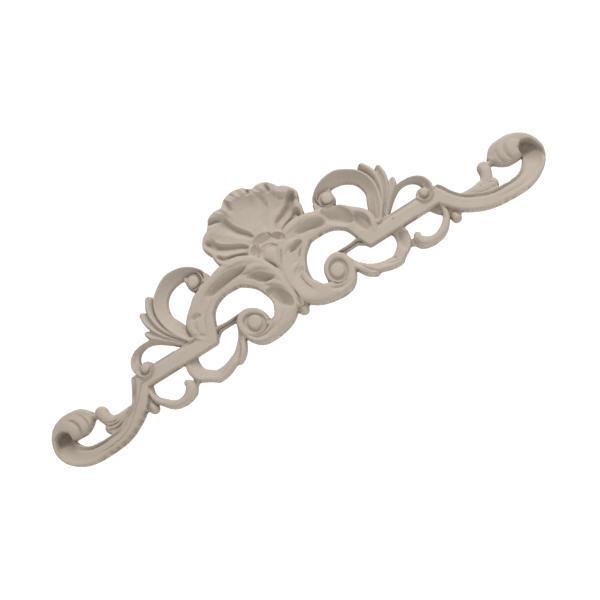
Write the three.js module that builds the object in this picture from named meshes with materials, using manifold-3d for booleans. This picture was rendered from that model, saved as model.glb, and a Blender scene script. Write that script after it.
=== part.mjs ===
// Carved wooden crest moulding: a shell between two mirrored acanthus scrolls,
// with a moulded bar, a looped leaf, a hook and a curled arm on each side.
// It lies flat against a wall. X runs along it, +Z is up and the carved face looks along -Y.
// The origin is on the flat back, on the mirror line, between the two big scrolls.
import * as THREE from 'three';
import { mergeVertices } from 'three/addons/utils/BufferGeometryUtils.js';
import Module from 'manifold-3d';

// Driving sizes in millimetres
const LENGTH = 580;
const HEIGHT = 162;
const THICKNESS = 20;

// Sizes of the drawing that the lines below are shares of
const DRAWN_LENGTH = 580;
const DRAWN_HEIGHT = 162;
const DRAWN_THICKNESS = 20;
const ALONG = LENGTH / DRAWN_LENGTH;
const UP = HEIGHT / DRAWN_HEIGHT;
const OUT = THICKNESS / DRAWN_THICKNESS;

// Drawn distance between two cross sections of a carved member
const STEP_LONG = 12;
const STEP_SHORT = 9;
const ROUND_END_ANGLES = [55];
const BASE_SHARE = 0.62;
// Faces that meet within this distance of flat are drawn as one
const SHORTEST_EDGE = 0.08;

// Cross sections: place across the member from -1 to 1, and share of its crest height
const SECTION_ROUND = [[-1, 0.62], [-0.42, 0.98], [0.42, 0.98], [1, 0.62]];
const SECTION_KEEL = [[-1, 0.64], [0, 1], [1, 0.64]];
const SECTION_HOLLOW = [[-1, 0.72], [-0.72, 1], [-0.4, 0.8], [0.1, 0.6], [1, 0.66]];
const SECTION_FLAT = [[-1, 0.9], [1, 0.9]];
const SECTION_SCROLL = [
  [-1, 0.6], [-0.84, 0.72], [-0.56, 0.74], [-0.44, 0.62], [-0.05, 0.58],
  [0.3, 0.74], [0.6, 0.97], [0.78, 1], [1, 0.68],
];
const SECTION_BAR = [
  [-1, 0.72], [-0.88, 0.88], [-0.34, 0.9], [-0.24, 0.8], [-0.12, 0.93],
  [0.4, 0.94], [0.6, 0.7], [0.84, 0.72], [1, 0.86],
];
const SECTION_MOUTH = [
  [-1, 0.74], [-0.9, 0.86], [-0.6, 0.72], [-0.4, 0.62], [-0.1, 0.55],
  [0.2, 0.5], [0.5, 0.5], [0.8, 0.55], [1, 0.6],
];

// The main stem of the right half, from the volute back round the big scroll, along the bar
// and out along the arm. Each station: x, z, half width, height, section (0 scroll, 1 bar, 2 mouth)
const STEM_SCROLL = [
  [38, -3.5, 2.3, 12.5, 0], [38.6, 2, 2.6, 13, 0], [41.2, 7.8, 3.2, 13.5, 0], [46.6, 12.6, 3.6, 14, 0],
  [54, 14, 4, 14.5, 0], [60.5, 10, 4, 14.3, 0], [63.2, 3, 3.9, 14, 0], [62, -5.5, 4.2, 13.8, 0],
  [58.5, -12.4, 4.7, 13.8, 0], [51.8, -17.6, 5.6, 14, 0], [41, -17.8, 7, 14.5, 0], [31.2, -13.6, 10, 15, 0],
  [20.4, -7.2, 12, 16, 0], [13.5, 0, 12.4, 16.5, 0], [12.1, 13, 12.2, 17, 0], [14, 27.5, 13.6, 17, 0],
  [17.4, 37.2, 14.6, 17, 0], [24.6, 46.8, 15.4, 17, 0], [38.5, 54.8, 14.8, 17, 0], [50, 54.2, 12.4, 17, 0],
  [63, 53, 11.6, 16.5, 0], [77, 48.4, 11.8, 16, 0], [88.8, 37.7, 11.6, 15, 0.3], [94.2, 26, 12, 14, 0.6],
];
const MITRE_LEFT = { foot: [90.8, 3.2], top: [112, 20.4], height: 12.6 };
const MITRE_RIGHT = { foot: [171, 2.8], top: [180, 20.4], height: 12.6 };
const STEM_ARM = [
  [181.4, 2.6, 8.6, 12.8, 1], [187.6, -5.2, 8.3, 13, 1], [194.3, -11.2, 8.3, 13, 1],
  [202.6, -16.2, 8.5, 13, 1], [212, -20.5, 8.3, 13, 1], [222, -23.3, 8, 13, 1], [233, -24.4, 8.1, 13, 1], [245, -24.8, 8.4, 13, 1],
  [256.8, -23.3, 9.2, 13.5, 1.2], [267, -18.5, 10.5, 14, 1.6], [275.2, -11.1, 11.5, 14, 2],
  [279.4, -1, 10.8, 14, 2], [278, 6, 9, 14, 2],
];

// Members of the right half with a simple section. Each station: x, z, half width, height
const UPPER_SCROLL = [
  [110.8, 25, 6.8, 13], [115.2, 33, 7.6, 13.5], [119.2, 42, 7.8, 14], [122.4, 51.5, 6.8, 14],
  [122.4, 60.5, 7, 14], [118.4, 71.2, 7, 14], [109, 79.6, 6.9, 14], [100.4, 83.6, 7.4, 14], [92, 84.2, 7, 14],
  [82.5, 82.6, 6, 13.8], [74, 79, 4.2, 13.5], [69, 74, 3.4, 13], [68.2, 68, 2.8, 12.5],
];
const SMALL_SCROLL = [
  [124, 24, 2.4, 11], [133, 32.4, 2.8, 11], [140, 37.4, 2.8, 11], [147, 40.6, 2.6, 11], [154, 41.2, 2.4, 11],
  [160, 40.2, 2.7, 11.5], [165.9, 37.4, 3.5, 12], [170.6, 32.2, 4.5, 12.5], [172.2, 26, 4.9, 13],
  [171.6, 20, 4.6, 13],
];
const LEAF_LOOP = [
  [63.8, 11, 2, 12], [65.8, 2, 3, 12], [71, -8.7, 4.9, 12], [78.3, -16.6, 6.3, 12], [87, -19.2, 5, 12],
  [97.3, -22, 5.7, 12], [106, -22.2, 6.2, 12], [113.2, -18, 6.2, 11.5], [120, -12.6, 7.2, 10.6],
  [123, -5, 7.4, 9.4], [122.8, 3, 7, 9],
];
const HOOK = [
  [172.6, 3, 2.6, 9.5], [172.6, -5, 2.8, 10], [170.6, -12, 3.5, 11], [165.5, -18.2, 4.1, 12],
  [158.5, -23, 4.6, 12.5], [150, -25.2, 4.4, 13], [142, -24.2, 5.2, 13.5], [135.6, -20.2, 6, 14],
  [134.6, -15.6, 5, 14], [135.6, -12.9, 3.8, 13],
];
const END_RIM = [
  [241, 13.4, 4.6, 12], [247, 17.8, 6.2, 14.5], [256, 19.6, 6.2, 16], [266, 18.8, 6, 17], [275, 15.4, 5, 17],
  [282, 9.7, 3.6, 16.5], [286.3, 2.5, 2.6, 16], [288, -6, 1.8, 15], [285.8, -14, 1.2, 14],
];
const END_SLEEVE = [
  [239, 11.6, 2.9, 11], [243.8, 10, 6.4, 13], [251, 9, 10.4, 15.5], [259, 8.4, 11, 17], [264, 8, 10.6, 17.5],
];
const TENDRIL = [
  [52, 16, 2.4, 11], [60, 15.4, 2.5, 11], [68, 15.1, 2.6, 10.5], [76, 15.2, 2.7, 10.5], [83, 15.4, 3.3, 10.5],
  [88.6, 11.8, 4, 8],
];
const VOLUTE_ROOT = [[24, -6, 6, 13], [31, -8.4, 4.8, 13], [37.5, -9, 4, 12.5]];
const EYE_RING = [
  [37.6, -3, 2.2, 13.6], [41.6, -9.4, 1.7, 14], [45, -11.6, 1.6, 14], [50, -12.2, 1.5, 14],
  [55, -10.6, 1.4, 13.6], [58.6, -6.4, 1.3, 13], [60.4, -1, 1.2, 12],
];
const UPPER_RING = [
  [72, 77.4, 1.5, 13], [69.8, 68.6, 1.4, 13.6], [71.4, 64, 1.4, 13.4], [75, 60.6, 1.4, 13.2],
  [79.6, 59, 1.3, 12.8], [84.4, 60, 1.4, 12],
];
const SMALL_RING = [
  [172.4, 17, 2.4, 13], [169.4, 13.6, 1.9, 13], [165, 12, 1.5, 13], [160.6, 12.8, 1.3, 13],
  [157.2, 15.8, 1.2, 13], [156.2, 22.4, 1.2, 12.4],
];
const BUD = [[176, -5, 5, 7.5], [178.2, -12, 5.4, 9], [178.8, -18.4, 5.2, 9.5]];
const WEB = [[172, 1, 4, 6], [177, -6, 6, 6], [183.5, -14, 3.6, 6]];
const BRACT_ROOT = [
  [197, -3, 2.8, 11], [205, -5, 4.5, 11.5], [213, -6.7, 6.9, 12], [221, -7.6, 8.4, 12], [227, -9, 6.8, 11.8],
];
const BRACT_TIP = [[221.6, -6, 6.4, 12], [227, 1, 6, 12.5], [229, 6.6, 6.2, 12.5], [229, 10, 6.4, 12]];
const NECK = [[232, 11.4, 2, 11], [240, 11.8, 2.2, 11]];
const FINGERS = [
  [[116, 24, 1.6, 12.5], [122, 32, 2.4, 13], [127.5, 41, 3.3, 13.5], [131, 50, 4, 13.5],
    [132.6, 60, 4.4, 13.5], [131.4, 70, 4.8, 13.5], [127.5, 78.5, 4.6, 12.5]],
  [[120, 25, 1.6, 12], [128, 34, 2.1, 12.5], [134.5, 43, 2.9, 13], [138.8, 52, 3.5, 13],
    [140.8, 60, 3.9, 13], [140.7, 68.2, 4, 12]],
  [[125, 26, 1.6, 11.5], [133, 34, 2.1, 12], [139.5, 40.5, 2.9, 12.5], [144.5, 46, 3.6, 12.5],
    [146, 49.8, 3.4, 11.5]],
];
const LEAF_TIPS = [
  [[70, -10, 3, 12.5], [76, -18, 4, 12.5], [81.5, -22.9, 3, 11.5]],
  [[94, -22.4, 3, 11.5], [102, -25.2, 3.4, 10], [109, -26, 2.6, 9]],
];
const SCROLL_LOBES = [
  [[3, -6, 2, 16.5], [4.5, 8, 3, 17.4], [8, 20, 4.5, 17.4], [13, 26.5, 4.2, 16], [19.6, 27, 2.2, 13.5]],
  [[3.6, 31, 2.6, 16.5], [5.6, 37.4, 4, 17], [10.8, 44, 4.6, 17.2], [17.2, 49.2, 5, 17.2],
    [25, 50.4, 4.8, 16.8], [35, 49, 1, 14]],
  [[20, 58, 3.4, 17], [28, 61.8, 3.8, 17.6], [37.5, 64.3, 4.6, 17.8], [50, 64.2, 4.6, 17.6],
    [59.5, 61.2, 4.7, 17], [66.5, 55.8, 4, 15.8], [70, 50.6, 1.6, 13.5]],
  [[80.4, 57.4, 1.9, 15.8], [84.4, 55, 3.2, 15.8], [93, 46.4, 4.2, 15.4], [100.8, 38.8, 4.6, 15],
    [104, 34.2, 5, 14.8], [105.8, 27, 4.6, 14.4], [104.6, 20, 4.2, 13.6], [102, 14, 3, 12.6]],
];

// Low ground that joins the fingers, the leaf and the hook, and the corner below the right bar
const GROUNDS = [
  [[122, 24, 3, 10], [131, 36, 5, 10.4], [138.6, 44, 5, 10.4], [143, 48.4, 3, 9.8]],
  [[112, 20, 6, 9], [120, 28, 8, 10], [127, 41, 8.5, 10.2], [133.5, 54, 7.5, 10.2], [136, 63, 4.4, 9.8]],
  [[127, -15, 3.4, 7], [132.6, -18.5, 3.4, 7]],
];
const RIGHT_CORNER = [[164.6, 2, 3.4, 5.5], [169, -4.2, 3.2, 5.5]];

// Round bosses and their hollows on the right half: centre x, z, radius, height
const BOSS_SIDES = 16;
const BOSSES = [[49.2, -0.3, 8, 15], [79.8, 69, 7.4, 12.8], [164.6, 20.4, 4.1, 13.6]];
const HOLLOWS = [
  [48.8, 0, 11.6, 9.5], [79.4, 69, 9, 8.5], [163.2, 19.4, 7.4, 9], [85.4, 75, 2.8, 9.5], [274, 5, 7, 7],
];

// How far the left half stands off a true mirror copy: x, z, and the shift in x and z there
const HAND_SHIFTS = [
  [3, 0, 0, 0], [3, 30, 0, 0], [5, 60, 0, 0], [24, 5, -2.8, 0], [24, 25, -1.4, 0], [60, -8, -1, 1],
  [45, 30, -0.5, 0], [80, 35, -1, 0.5], [66, 68, 0, 0.6], [85, 85, 0, 2], [105, 75, 0.7, 2],
  [100, 48, 1.2, 0.7], [122, 45, 1, 0.2], [135, 62, 1.4, 1.4], [160, 35, 2, 1.5], [176, 25, 1.8, 1],
  [92, 3, 0.8, 0.4], [110, 10, 0.3, 0.5], [150, 8, 0.8, 1.6], [170, 3, 2, 1.4], [100, -22, 1.5, -2.2],
  [75, -15, 0, -1], [120, -10, 2, -1.5], [150, -22, 2.5, -2.4], [172, -12, 2.3, 0], [178, -18, 1, 0.9],
  [195, -8, 2, -1.2], [222, 0, -1, -1.8], [245, 8, -1.5, -1.6], [262, 5, -1, 0.3], [262, -15, -0.5, -0.5],
  [284, 0, -3, 0.8],
];
const SHIFT_REACH = 8;

// Centre pieces, not mirrored
const MIDDLE_GROUND = [
  [2, 67, 11, 10.5], [2, 61, 17, 13.4], [2, 56, 18, 14], [2, 51, 13, 15], [2, 45, 8, 12.5], [1.8, 38, 5, 13],
  [1.3, 31, 4, 15], [1.2, 14, 4.5, 15.4], [1, 2, 4, 14], [0.4, -8, 3.6, 12.5],
];
const CABOCHON = [[1.6, 50.4, 9.6, 17.4], [2, 45, 6.4, 16.8], [2.2, 38.4, 3, 15.8], [2, 31, 1.2, 15.2]];
const BOTTOM_BUD = [[0.5, 6, 3, 9.5], [0, -5, 5, 10.5], [0, -13.2, 5.8, 12]];
const COLLAR_SIDES = 14;
const COLLAR_LOBES = [[1.6, 66, 10, 15.6, 13], [16.2, 62.6, 7.6, 15.2, 13], [-11.4, 62.4, 6.8, 15.2, 13]];
const COLLAR_RIM = 1.5;
const RIB_CENTRE = [1.4, 50.4];
const RIB_RADIUS = 12;
const RIB_HALF_WIDTH = 1.1;
const RIB_HEIGHT = 17;

// The shell is a fan about its hinge. Angles are degrees from upright
const HINGE = [2, 58];
const FAN_ANGLES = [0, 8, 14, 18.5, 20.5, 25, 33, 41, 47, 49.5, 54, 60, 64.7, 67, 71, 76, 84];
const FAN_EDGE = [
  [0, 71.3], [10, 69.4], [16.5, 65.4], [22, 68.2], [29, 69.8], [36, 68], [41, 66], [45, 67.2], [49, 67.8],
  [55, 67.4], [58.4, 66.4], [61, 63], [64.7, 58], [68.5, 56.8], [72, 54.6], [76, 52.4], [84, 45],
];
const FLUTE_HEIGHT = [
  [0, 13], [14, 13], [18.5, 14], [20.5, 12.4], [25, 9.4], [33, 11.4], [47, 14], [49.5, 12.4], [54, 9.4],
  [60, 11.6], [64.7, 13.6], [67, 12], [71, 9.6], [76, 12], [84, 13],
];
const FAN_SHARES = [0.12, 0.3, 0.52, 0.72, 0.82, 0.89, 0.945, 1];
const FLUTE_FADE = [0.1, 0.7, 1, 1, 0.8, 0.35, 0.1, 0];
const LIP_RISE = [1.5, 0, -0.4, 0.4, 2.6, 5, 5.2, 1.5];
const FAN_LEVEL = 13;

const wasm = await Module();
wasm.setup();

// Smooth line through the stations: a cubic whose slopes come from the distances between them
function smoothLine(stations, step) {
  const lengths = stations.slice(1).map((s, i) => Math.hypot(s[0] - stations[i][0], s[1] - stations[i][1]));
  const rates = stations.slice(1).map((s, i) => s.map((v, k) => (v - stations[i][k]) / lengths[i]));
  const last = stations.length - 1;
  const slopes = stations.map((s, i) => {
    if (i === 0) return rates[0];
    if (i === last) return rates[last - 1];
    const before = lengths[i - 1];
    const after = lengths[i];
    return s.map((v, k) => (rates[i - 1][k] * after + rates[i][k] * before) / (before + after));
  });
  const line = [];
  for (let i = 0; i < last; i += 1) {
    const parts = Math.max(1, Math.round(lengths[i] / step));
    for (let j = 0; j < parts; j += 1) {
      line.push({ index: i, share: j / parts });
    }
  }
  line.push({ index: last - 1, share: 1 });
  return line.map(({ index, share }) => {
    const a = stations[index];
    const b = stations[index + 1];
    const h = lengths[index];
    const t2 = share * share;
    const t3 = t2 * share;
    return a.map((v, k) => v * (2 * t3 - 3 * t2 + 1) + slopes[index][k] * h * (t3 - 2 * t2 + share)
      + b[k] * (3 * t2 - 2 * t3) + slopes[index + 1][k] * h * (t3 - t2));
  });
}

// A ring of drawn points: the face from right to left, then the two back corners
function ringAt(centre, across, halfWidth, height, section) {
  const points = section.map(([q, share]) => [
    centre[0] + across[0] * halfWidth * q, height * share, centre[1] + across[1] * halfWidth * q,
  ]);
  const first = points[0];
  const end = points[points.length - 1];
  return [...points, [end[0], 0, end[2]], [first[0], 0, first[2]]];
}

// A half-round end: rings that shrink along a quarter circle, outward along the given direction
function endRings(station, across, outward, section) {
  const [x, z, halfWidth, height] = station;
  return ROUND_END_ANGLES.map((degrees) => {
    const angle = THREE.MathUtils.degToRad(degrees);
    const reach = halfWidth * Math.sin(angle);
    const shrink = Math.cos(angle);
    const low = BASE_SHARE + (1 - BASE_SHARE) * shrink;
    const centre = [x + outward[0] * reach, z + outward[1] * reach];
    return ringAt(centre, across, halfWidth * shrink, height * low, section);
  });
}

// Triangles that fill a ring, which stands on the back and may be hollow along its face
function endFaces(ring) {
  const start = ring[0];
  const outline = ring.map(([x, h, z]) => new THREE.Vector2(Math.hypot(x - start[0], z - start[2]), h));
  const turned = THREE.ShapeUtils.isClockWise(outline);
  return THREE.ShapeUtils.triangulateShape(outline, []).map(([a, b, c]) => (turned ? [a, c, b] : [a, b, c]));
}

// Closed body from equal rings of drawn points, turned right side out
function bodyFromRings(rings) {
  const size = rings[0].length;
  const positions = [];
  rings.forEach((ring) => ring.forEach(([x, h, z]) => positions.push(x * ALONG, -h * OUT, z * UP)));
  const faces = [];
  for (let i = 0; i < rings.length - 1; i += 1) {
    for (let j = 0; j < size; j += 1) {
      const a = i * size + j;
      const b = i * size + ((j + 1) % size);
      faces.push([a, b, b + size], [a, b + size, a + size]);
    }
  }
  const lastStart = (rings.length - 1) * size;
  endFaces(rings[0]).forEach(([a, b, c]) => faces.push([a, c, b]));
  const lastRing = rings[rings.length - 1];
  endFaces(lastRing).forEach((face) => faces.push(face.map((corner) => lastStart + corner)));
  return solidFrom(positions, faces);
}

// Solid from positions and triangles, with the winding turned when its volume comes out negative
function solidFrom(positions, faces) {
  const geometry = new THREE.BufferGeometry();
  geometry.setAttribute('position', new THREE.Float32BufferAttribute(positions, 3));
  geometry.setIndex(faces.flat());
  const welded = mergeVertices(geometry, 1e-4);
  const vertices = welded.getAttribute('position').array;
  const index = Array.from(welded.getIndex().array);
  let volume = 0;
  for (let i = 0; i < index.length; i += 3) {
    const [a, b, c] = [0, 1, 2].map((k) => new THREE.Vector3().fromArray(vertices, index[i + k] * 3));
    volume += a.dot(b.cross(c));
  }
  if (volume < 0) {
    for (let i = 0; i < index.length; i += 3) {
      [index[i + 1], index[i + 2]] = [index[i + 2], index[i + 1]];
    }
  }
  return new wasm.Manifold(new wasm.Mesh({
    numProp: 3,
    vertProperties: Float32Array.from(vertices),
    triVerts: Uint32Array.from(index),
  }));
}

// A carved member: one section carried along a smooth line, with half-round ends
function member(stations, section, step = STEP_SHORT) {
  const line = smoothLine(stations, step);
  const directions = line.map((s, i) => {
    const before = line[Math.max(i - 1, 0)];
    const after = line[Math.min(i + 1, line.length - 1)];
    return new THREE.Vector2(after[0] - before[0], after[1] - before[1]).normalize();
  });
  const acrossAt = (i) => [-directions[i].y, directions[i].x];
  const end = line.length - 1;
  const back = [-directions[0].x, -directions[0].y];
  const ahead = [directions[end].x, directions[end].y];
  return bodyFromRings([
    ...endRings(line[0], acrossAt(0), back, section).reverse(),
    ...line.map((s, i) => ringAt(s, acrossAt(i), s[2], s[3], section)),
    ...endRings(line[end], acrossAt(end), ahead, section),
  ]);
}

// Section part way between two sections that have as many points
function blended(from, to, share) {
  return from.map(([q, height], i) => [q + (to[i][0] - q) * share, height + (to[i][1] - height) * share]);
}

function stemSection(kind) {
  if (kind <= 1) return blended(SECTION_SCROLL, SECTION_BAR, Math.max(kind, 0));
  return blended(SECTION_BAR, SECTION_MOUTH, Math.min(kind - 1, 1));
}

// A station of the left half: moved by the shifts near it, the nearer ones counting more
function leftHanded([x, z, ...sizes]) {
  const weights = HAND_SHIFTS.map(([px, pz]) => 1 / ((x - px) ** 2 + (z - pz) ** 2 + SHIFT_REACH ** 2) ** 2);
  const total = weights.reduce((sum, weight) => sum + weight);
  const meanOf = (k) => HAND_SHIFTS.reduce((sum, shift, i) => sum + shift[k] * weights[i], 0) / total;
  return [x + meanOf(2), z + meanOf(3), ...sizes];
}

function rightHanded(station) {
  return station;
}

// Ring on a mitre line, where the stem turns a corner
function mitreRing(mitre, placed) {
  const foot = placed(mitre.foot);
  const top = placed(mitre.top);
  const centre = [(foot[0] + top[0]) / 2, (foot[1] + top[1]) / 2];
  const half = [(top[0] - foot[0]) / 2, (top[1] - foot[1]) / 2];
  return ringAt(centre, half, 1, mitre.height, SECTION_BAR);
}

// The stem: scroll, bar and arm as one body, with a mitre at each end of the bar
function stem(placed) {
  const ringsOf = (stations) => {
    const line = smoothLine(stations.map(placed), STEP_LONG);
    return line.map((s, i) => {
      const before = line[Math.max(i - 1, 0)];
      const after = line[Math.min(i + 1, line.length - 1)];
      const along = new THREE.Vector2(after[0] - before[0], after[1] - before[1]).normalize();
      return ringAt(s, [-along.y, along.x], s[2], s[3], stemSection(s[4]));
    });
  };
  return bodyFromRings([
    ...ringsOf(STEM_SCROLL), mitreRing(MITRE_LEFT, placed), mitreRing(MITRE_RIGHT, placed),
    ...ringsOf(STEM_ARM),
  ]);
}

// Round boss or hollow floor: a low dome with a wall
function disc([x, z, radius, height], domed, sides = BOSS_SIDES) {
  const profile = domed
    ? [[1, 0], [1, BASE_SHARE], [0.8, 0.86], [0.45, 0.97]]
    : [[1, 0], [1, 1]];
  const positions = [];
  profile.forEach(([reach, share]) => {
    for (let i = 0; i < sides; i += 1) {
      const angle = (i / sides) * Math.PI * 2;
      positions.push(
        (x + radius * reach * Math.cos(angle)) * ALONG, -height * share * OUT,
        (z + radius * reach * Math.sin(angle)) * UP,
      );
    }
  });
  const rings = profile.length;
  const back = rings * sides;
  const front = back + 1;
  positions.push(x * ALONG, 0, z * UP, x * ALONG, -height * OUT, z * UP);
  const faces = [];
  for (let i = 0; i < sides; i += 1) {
    const next = (i + 1) % sides;
    for (let r = 0; r < rings - 1; r += 1) {
      const a = r * sides;
      faces.push([a + i, a + next, a + sides + next], [a + i, a + sides + next, a + sides + i]);
    }
    const top = (rings - 1) * sides;
    faces.push([back, next, i], [front, top + i, top + next]);
  }
  return solidFrom(positions, faces);
}

// Value at an angle, straight between the pairs of a table
function tableAt(table, angle) {
  const after = table.findIndex((pair) => pair[0] >= angle);
  if (after <= 0) return table[Math.max(after, 0)][1];
  const [a0, v0] = table[after - 1];
  const [a1, v1] = table[after];
  return v0 + (v1 - v0) * ((angle - a0) / (a1 - a0));
}

// The shell: dished flutes that fade into a lip, which stands up along the scalloped edge
function shell() {
  const angles = [...FAN_ANGLES.slice(1).reverse().map((a) => -a), ...FAN_ANGLES];
  const columns = angles.map((degrees) => {
    const edge = tableAt(FAN_EDGE, Math.abs(degrees));
    const flute = tableAt(FLUTE_HEIGHT, Math.abs(degrees));
    const angle = THREE.MathUtils.degToRad(degrees);
    const column = FAN_SHARES.map((share, k) => {
      const height = FAN_LEVEL + (flute - FAN_LEVEL) * FLUTE_FADE[k] + LIP_RISE[k];
      return [HINGE[0] + Math.sin(angle) * edge * share, height, HINGE[1] + Math.cos(angle) * edge * share];
    });
    const inner = column[0];
    const outer = column[column.length - 1];
    return [...column, [outer[0], 0, outer[2]], [inner[0], 0, inner[2]]];
  });
  return bodyFromRings(columns);
}

// A collar lobe: a raised round rim with a lower floor
function collarLobe([x, z, radius, height, floor]) {
  return disc([x, z, radius, height], true, COLLAR_SIDES)
    .subtract(disc([x, z, radius - COLLAR_RIM, DRAWN_THICKNESS * 2], false, COLLAR_SIDES))
    .add(disc([x, z, radius - COLLAR_RIM / 2, floor], false, COLLAR_SIDES));
}

// The rib over the cabochon: a round moulding on half a circle
function rib() {
  const stations = [-10, 20, 55, 90, 125, 160, 190].map((degrees) => {
    const angle = THREE.MathUtils.degToRad(degrees);
    return [
      RIB_CENTRE[0] + RIB_RADIUS * Math.cos(angle), RIB_CENTRE[1] + RIB_RADIUS * Math.sin(angle),
      RIB_HALF_WIDTH, RIB_HEIGHT,
    ];
  });
  return member(stations, SECTION_KEEL, STEP_SHORT);
}

function joined(solids) {
  return solids.reduce((whole, solid) => whole.add(solid));
}

// One half, drawn as the right one, with its stations placed for the right or the left hand
function half(placed) {
  const carved = (stations, section, step = STEP_SHORT) => member(stations.map(placed), section, step);
  const rounded = [SMALL_SCROLL, LEAF_LOOP, HOOK, END_RIM, END_SLEEVE, BRACT_ROOT, BRACT_TIP];
  const keeled = [
    TENDRIL, VOLUTE_ROOT, EYE_RING, UPPER_RING, SMALL_RING, BUD, NECK, ...LEAF_TIPS, ...SCROLL_LOBES,
  ];
  return joined([
    stem(placed),
    ...HOLLOWS.map((h) => disc(placed(h), false)),
    ...BOSSES.map((b) => disc(placed(b), true)),
    carved(UPPER_SCROLL, SECTION_HOLLOW),
    ...rounded.map((s) => carved(s, SECTION_ROUND)),
    ...keeled.map((s) => carved(s, SECTION_KEEL)),
    ...[WEB, ...GROUNDS].map((s) => carved(s, SECTION_FLAT, STEP_LONG)),
    ...FINGERS.map((s) => carved(s, SECTION_KEEL, STEP_LONG)),
  ]);
}

// The same solid on the other side of the mirror line
function mirrored(solid) {
  const mesh = solid.getMesh();
  const positions = Array.from(mesh.vertProperties, (value, i) => (i % 3 === 0 ? -value : value));
  const faces = [];
  for (let i = 0; i < mesh.triVerts.length; i += 3) {
    faces.push([mesh.triVerts[i], mesh.triVerts[i + 2], mesh.triVerts[i + 1]]);
  }
  return solidFrom(positions, faces);
}

function crest() {
  return joined([
    half(rightHanded), mirrored(half(leftHanded)), member(RIGHT_CORNER, SECTION_FLAT, STEP_LONG), shell(),
    ...COLLAR_LOBES.map(collarLobe), rib(), member(MIDDLE_GROUND, SECTION_FLAT, STEP_LONG),
    member(CABOCHON, SECTION_ROUND), member(BOTTOM_BUD, SECTION_KEEL),
  ]);
}

function meshOf(solid, name, material) {
  const { vertProperties, triVerts } = solid.getMesh();
  const geometry = new THREE.BufferGeometry();
  geometry.setAttribute('position', new THREE.BufferAttribute(Float32Array.from(vertProperties), 3));
  geometry.setIndex(Array.from(triVerts));
  geometry.computeVertexNormals();
  const mesh = new THREE.Mesh(geometry, material);
  mesh.name = name;
  return mesh;
}

const paleWood = new THREE.MeshStandardMaterial({ color: 0xc9bcab, roughness: 0.8, metalness: 0 });
const moulding = new THREE.Group();
moulding.add(meshOf(crest().simplify(SHORTEST_EDGE), 'carved_crest', paleWood));

export default moulding;
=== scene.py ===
"""Carved wooden crest moulding: the finished carving, its pale wood and the studio it is shown in.

The carving is one relief on a flat back. Its face is a height over the plane of the back,
worked out on a grid from members (scrolls, leaves, bars) that follow smooth lines, and from
gouge cuts that follow lines of their own. Lengths in the tables are millimetres from the
middle of the joint between the two big scrolls: x along the moulding, z up.
"""
import math

import bpy
import numpy as np
from mathutils import Matrix, Vector
from mathutils.geometry import delaunay_2d_cdt


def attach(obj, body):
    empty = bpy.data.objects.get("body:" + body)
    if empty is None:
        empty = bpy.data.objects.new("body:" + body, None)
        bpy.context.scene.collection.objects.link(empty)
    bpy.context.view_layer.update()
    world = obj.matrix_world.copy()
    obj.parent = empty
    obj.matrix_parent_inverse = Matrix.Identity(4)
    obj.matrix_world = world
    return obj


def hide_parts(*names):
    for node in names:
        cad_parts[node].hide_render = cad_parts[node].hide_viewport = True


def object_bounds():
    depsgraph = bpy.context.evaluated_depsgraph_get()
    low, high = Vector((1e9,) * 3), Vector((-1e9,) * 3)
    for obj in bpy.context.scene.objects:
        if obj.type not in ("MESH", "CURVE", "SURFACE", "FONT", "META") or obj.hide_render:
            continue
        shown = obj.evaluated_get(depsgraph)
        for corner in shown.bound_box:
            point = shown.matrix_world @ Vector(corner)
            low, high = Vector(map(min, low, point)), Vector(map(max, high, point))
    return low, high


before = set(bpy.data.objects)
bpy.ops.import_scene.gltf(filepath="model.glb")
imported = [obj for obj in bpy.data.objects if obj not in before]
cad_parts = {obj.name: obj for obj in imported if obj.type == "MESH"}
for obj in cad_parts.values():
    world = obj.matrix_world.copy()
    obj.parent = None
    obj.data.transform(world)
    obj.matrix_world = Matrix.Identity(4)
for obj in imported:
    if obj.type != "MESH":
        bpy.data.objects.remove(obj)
CAD_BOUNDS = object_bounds()

bl_info = {
    "name": "Carved crest moulding",
    "version": (1, 0, 0),
    "blender": (4, 5, 0),
    "location": "View3D > Sidebar > Moulding",
    "description": "Builds a carved crest moulding of pale wood and the studio around it",
    "category": "Add Mesh",
}

MM = 0.001
# Least width that a distance is divided by
THIN = 0.05
# The grid: its half length, its bottom and top, and how far each half runs past the middle
HALF_LENGTH = 291
BOTTOM, TOP = -36, 132
OVERLAP = 12
FAN_BOX = (-62, 66, 40, 132)
# A grid point nearer the outline than this share of a cell counts as inside
SNAP = 0.04
# The walls: least height, depth of the first band, and how often the outline below it is evened
LEAST_HEIGHT = 2.0
FIRST_BAND = 0.8
EVENINGS = 40
CREASE_ANGLE = math.radians(50)

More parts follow.
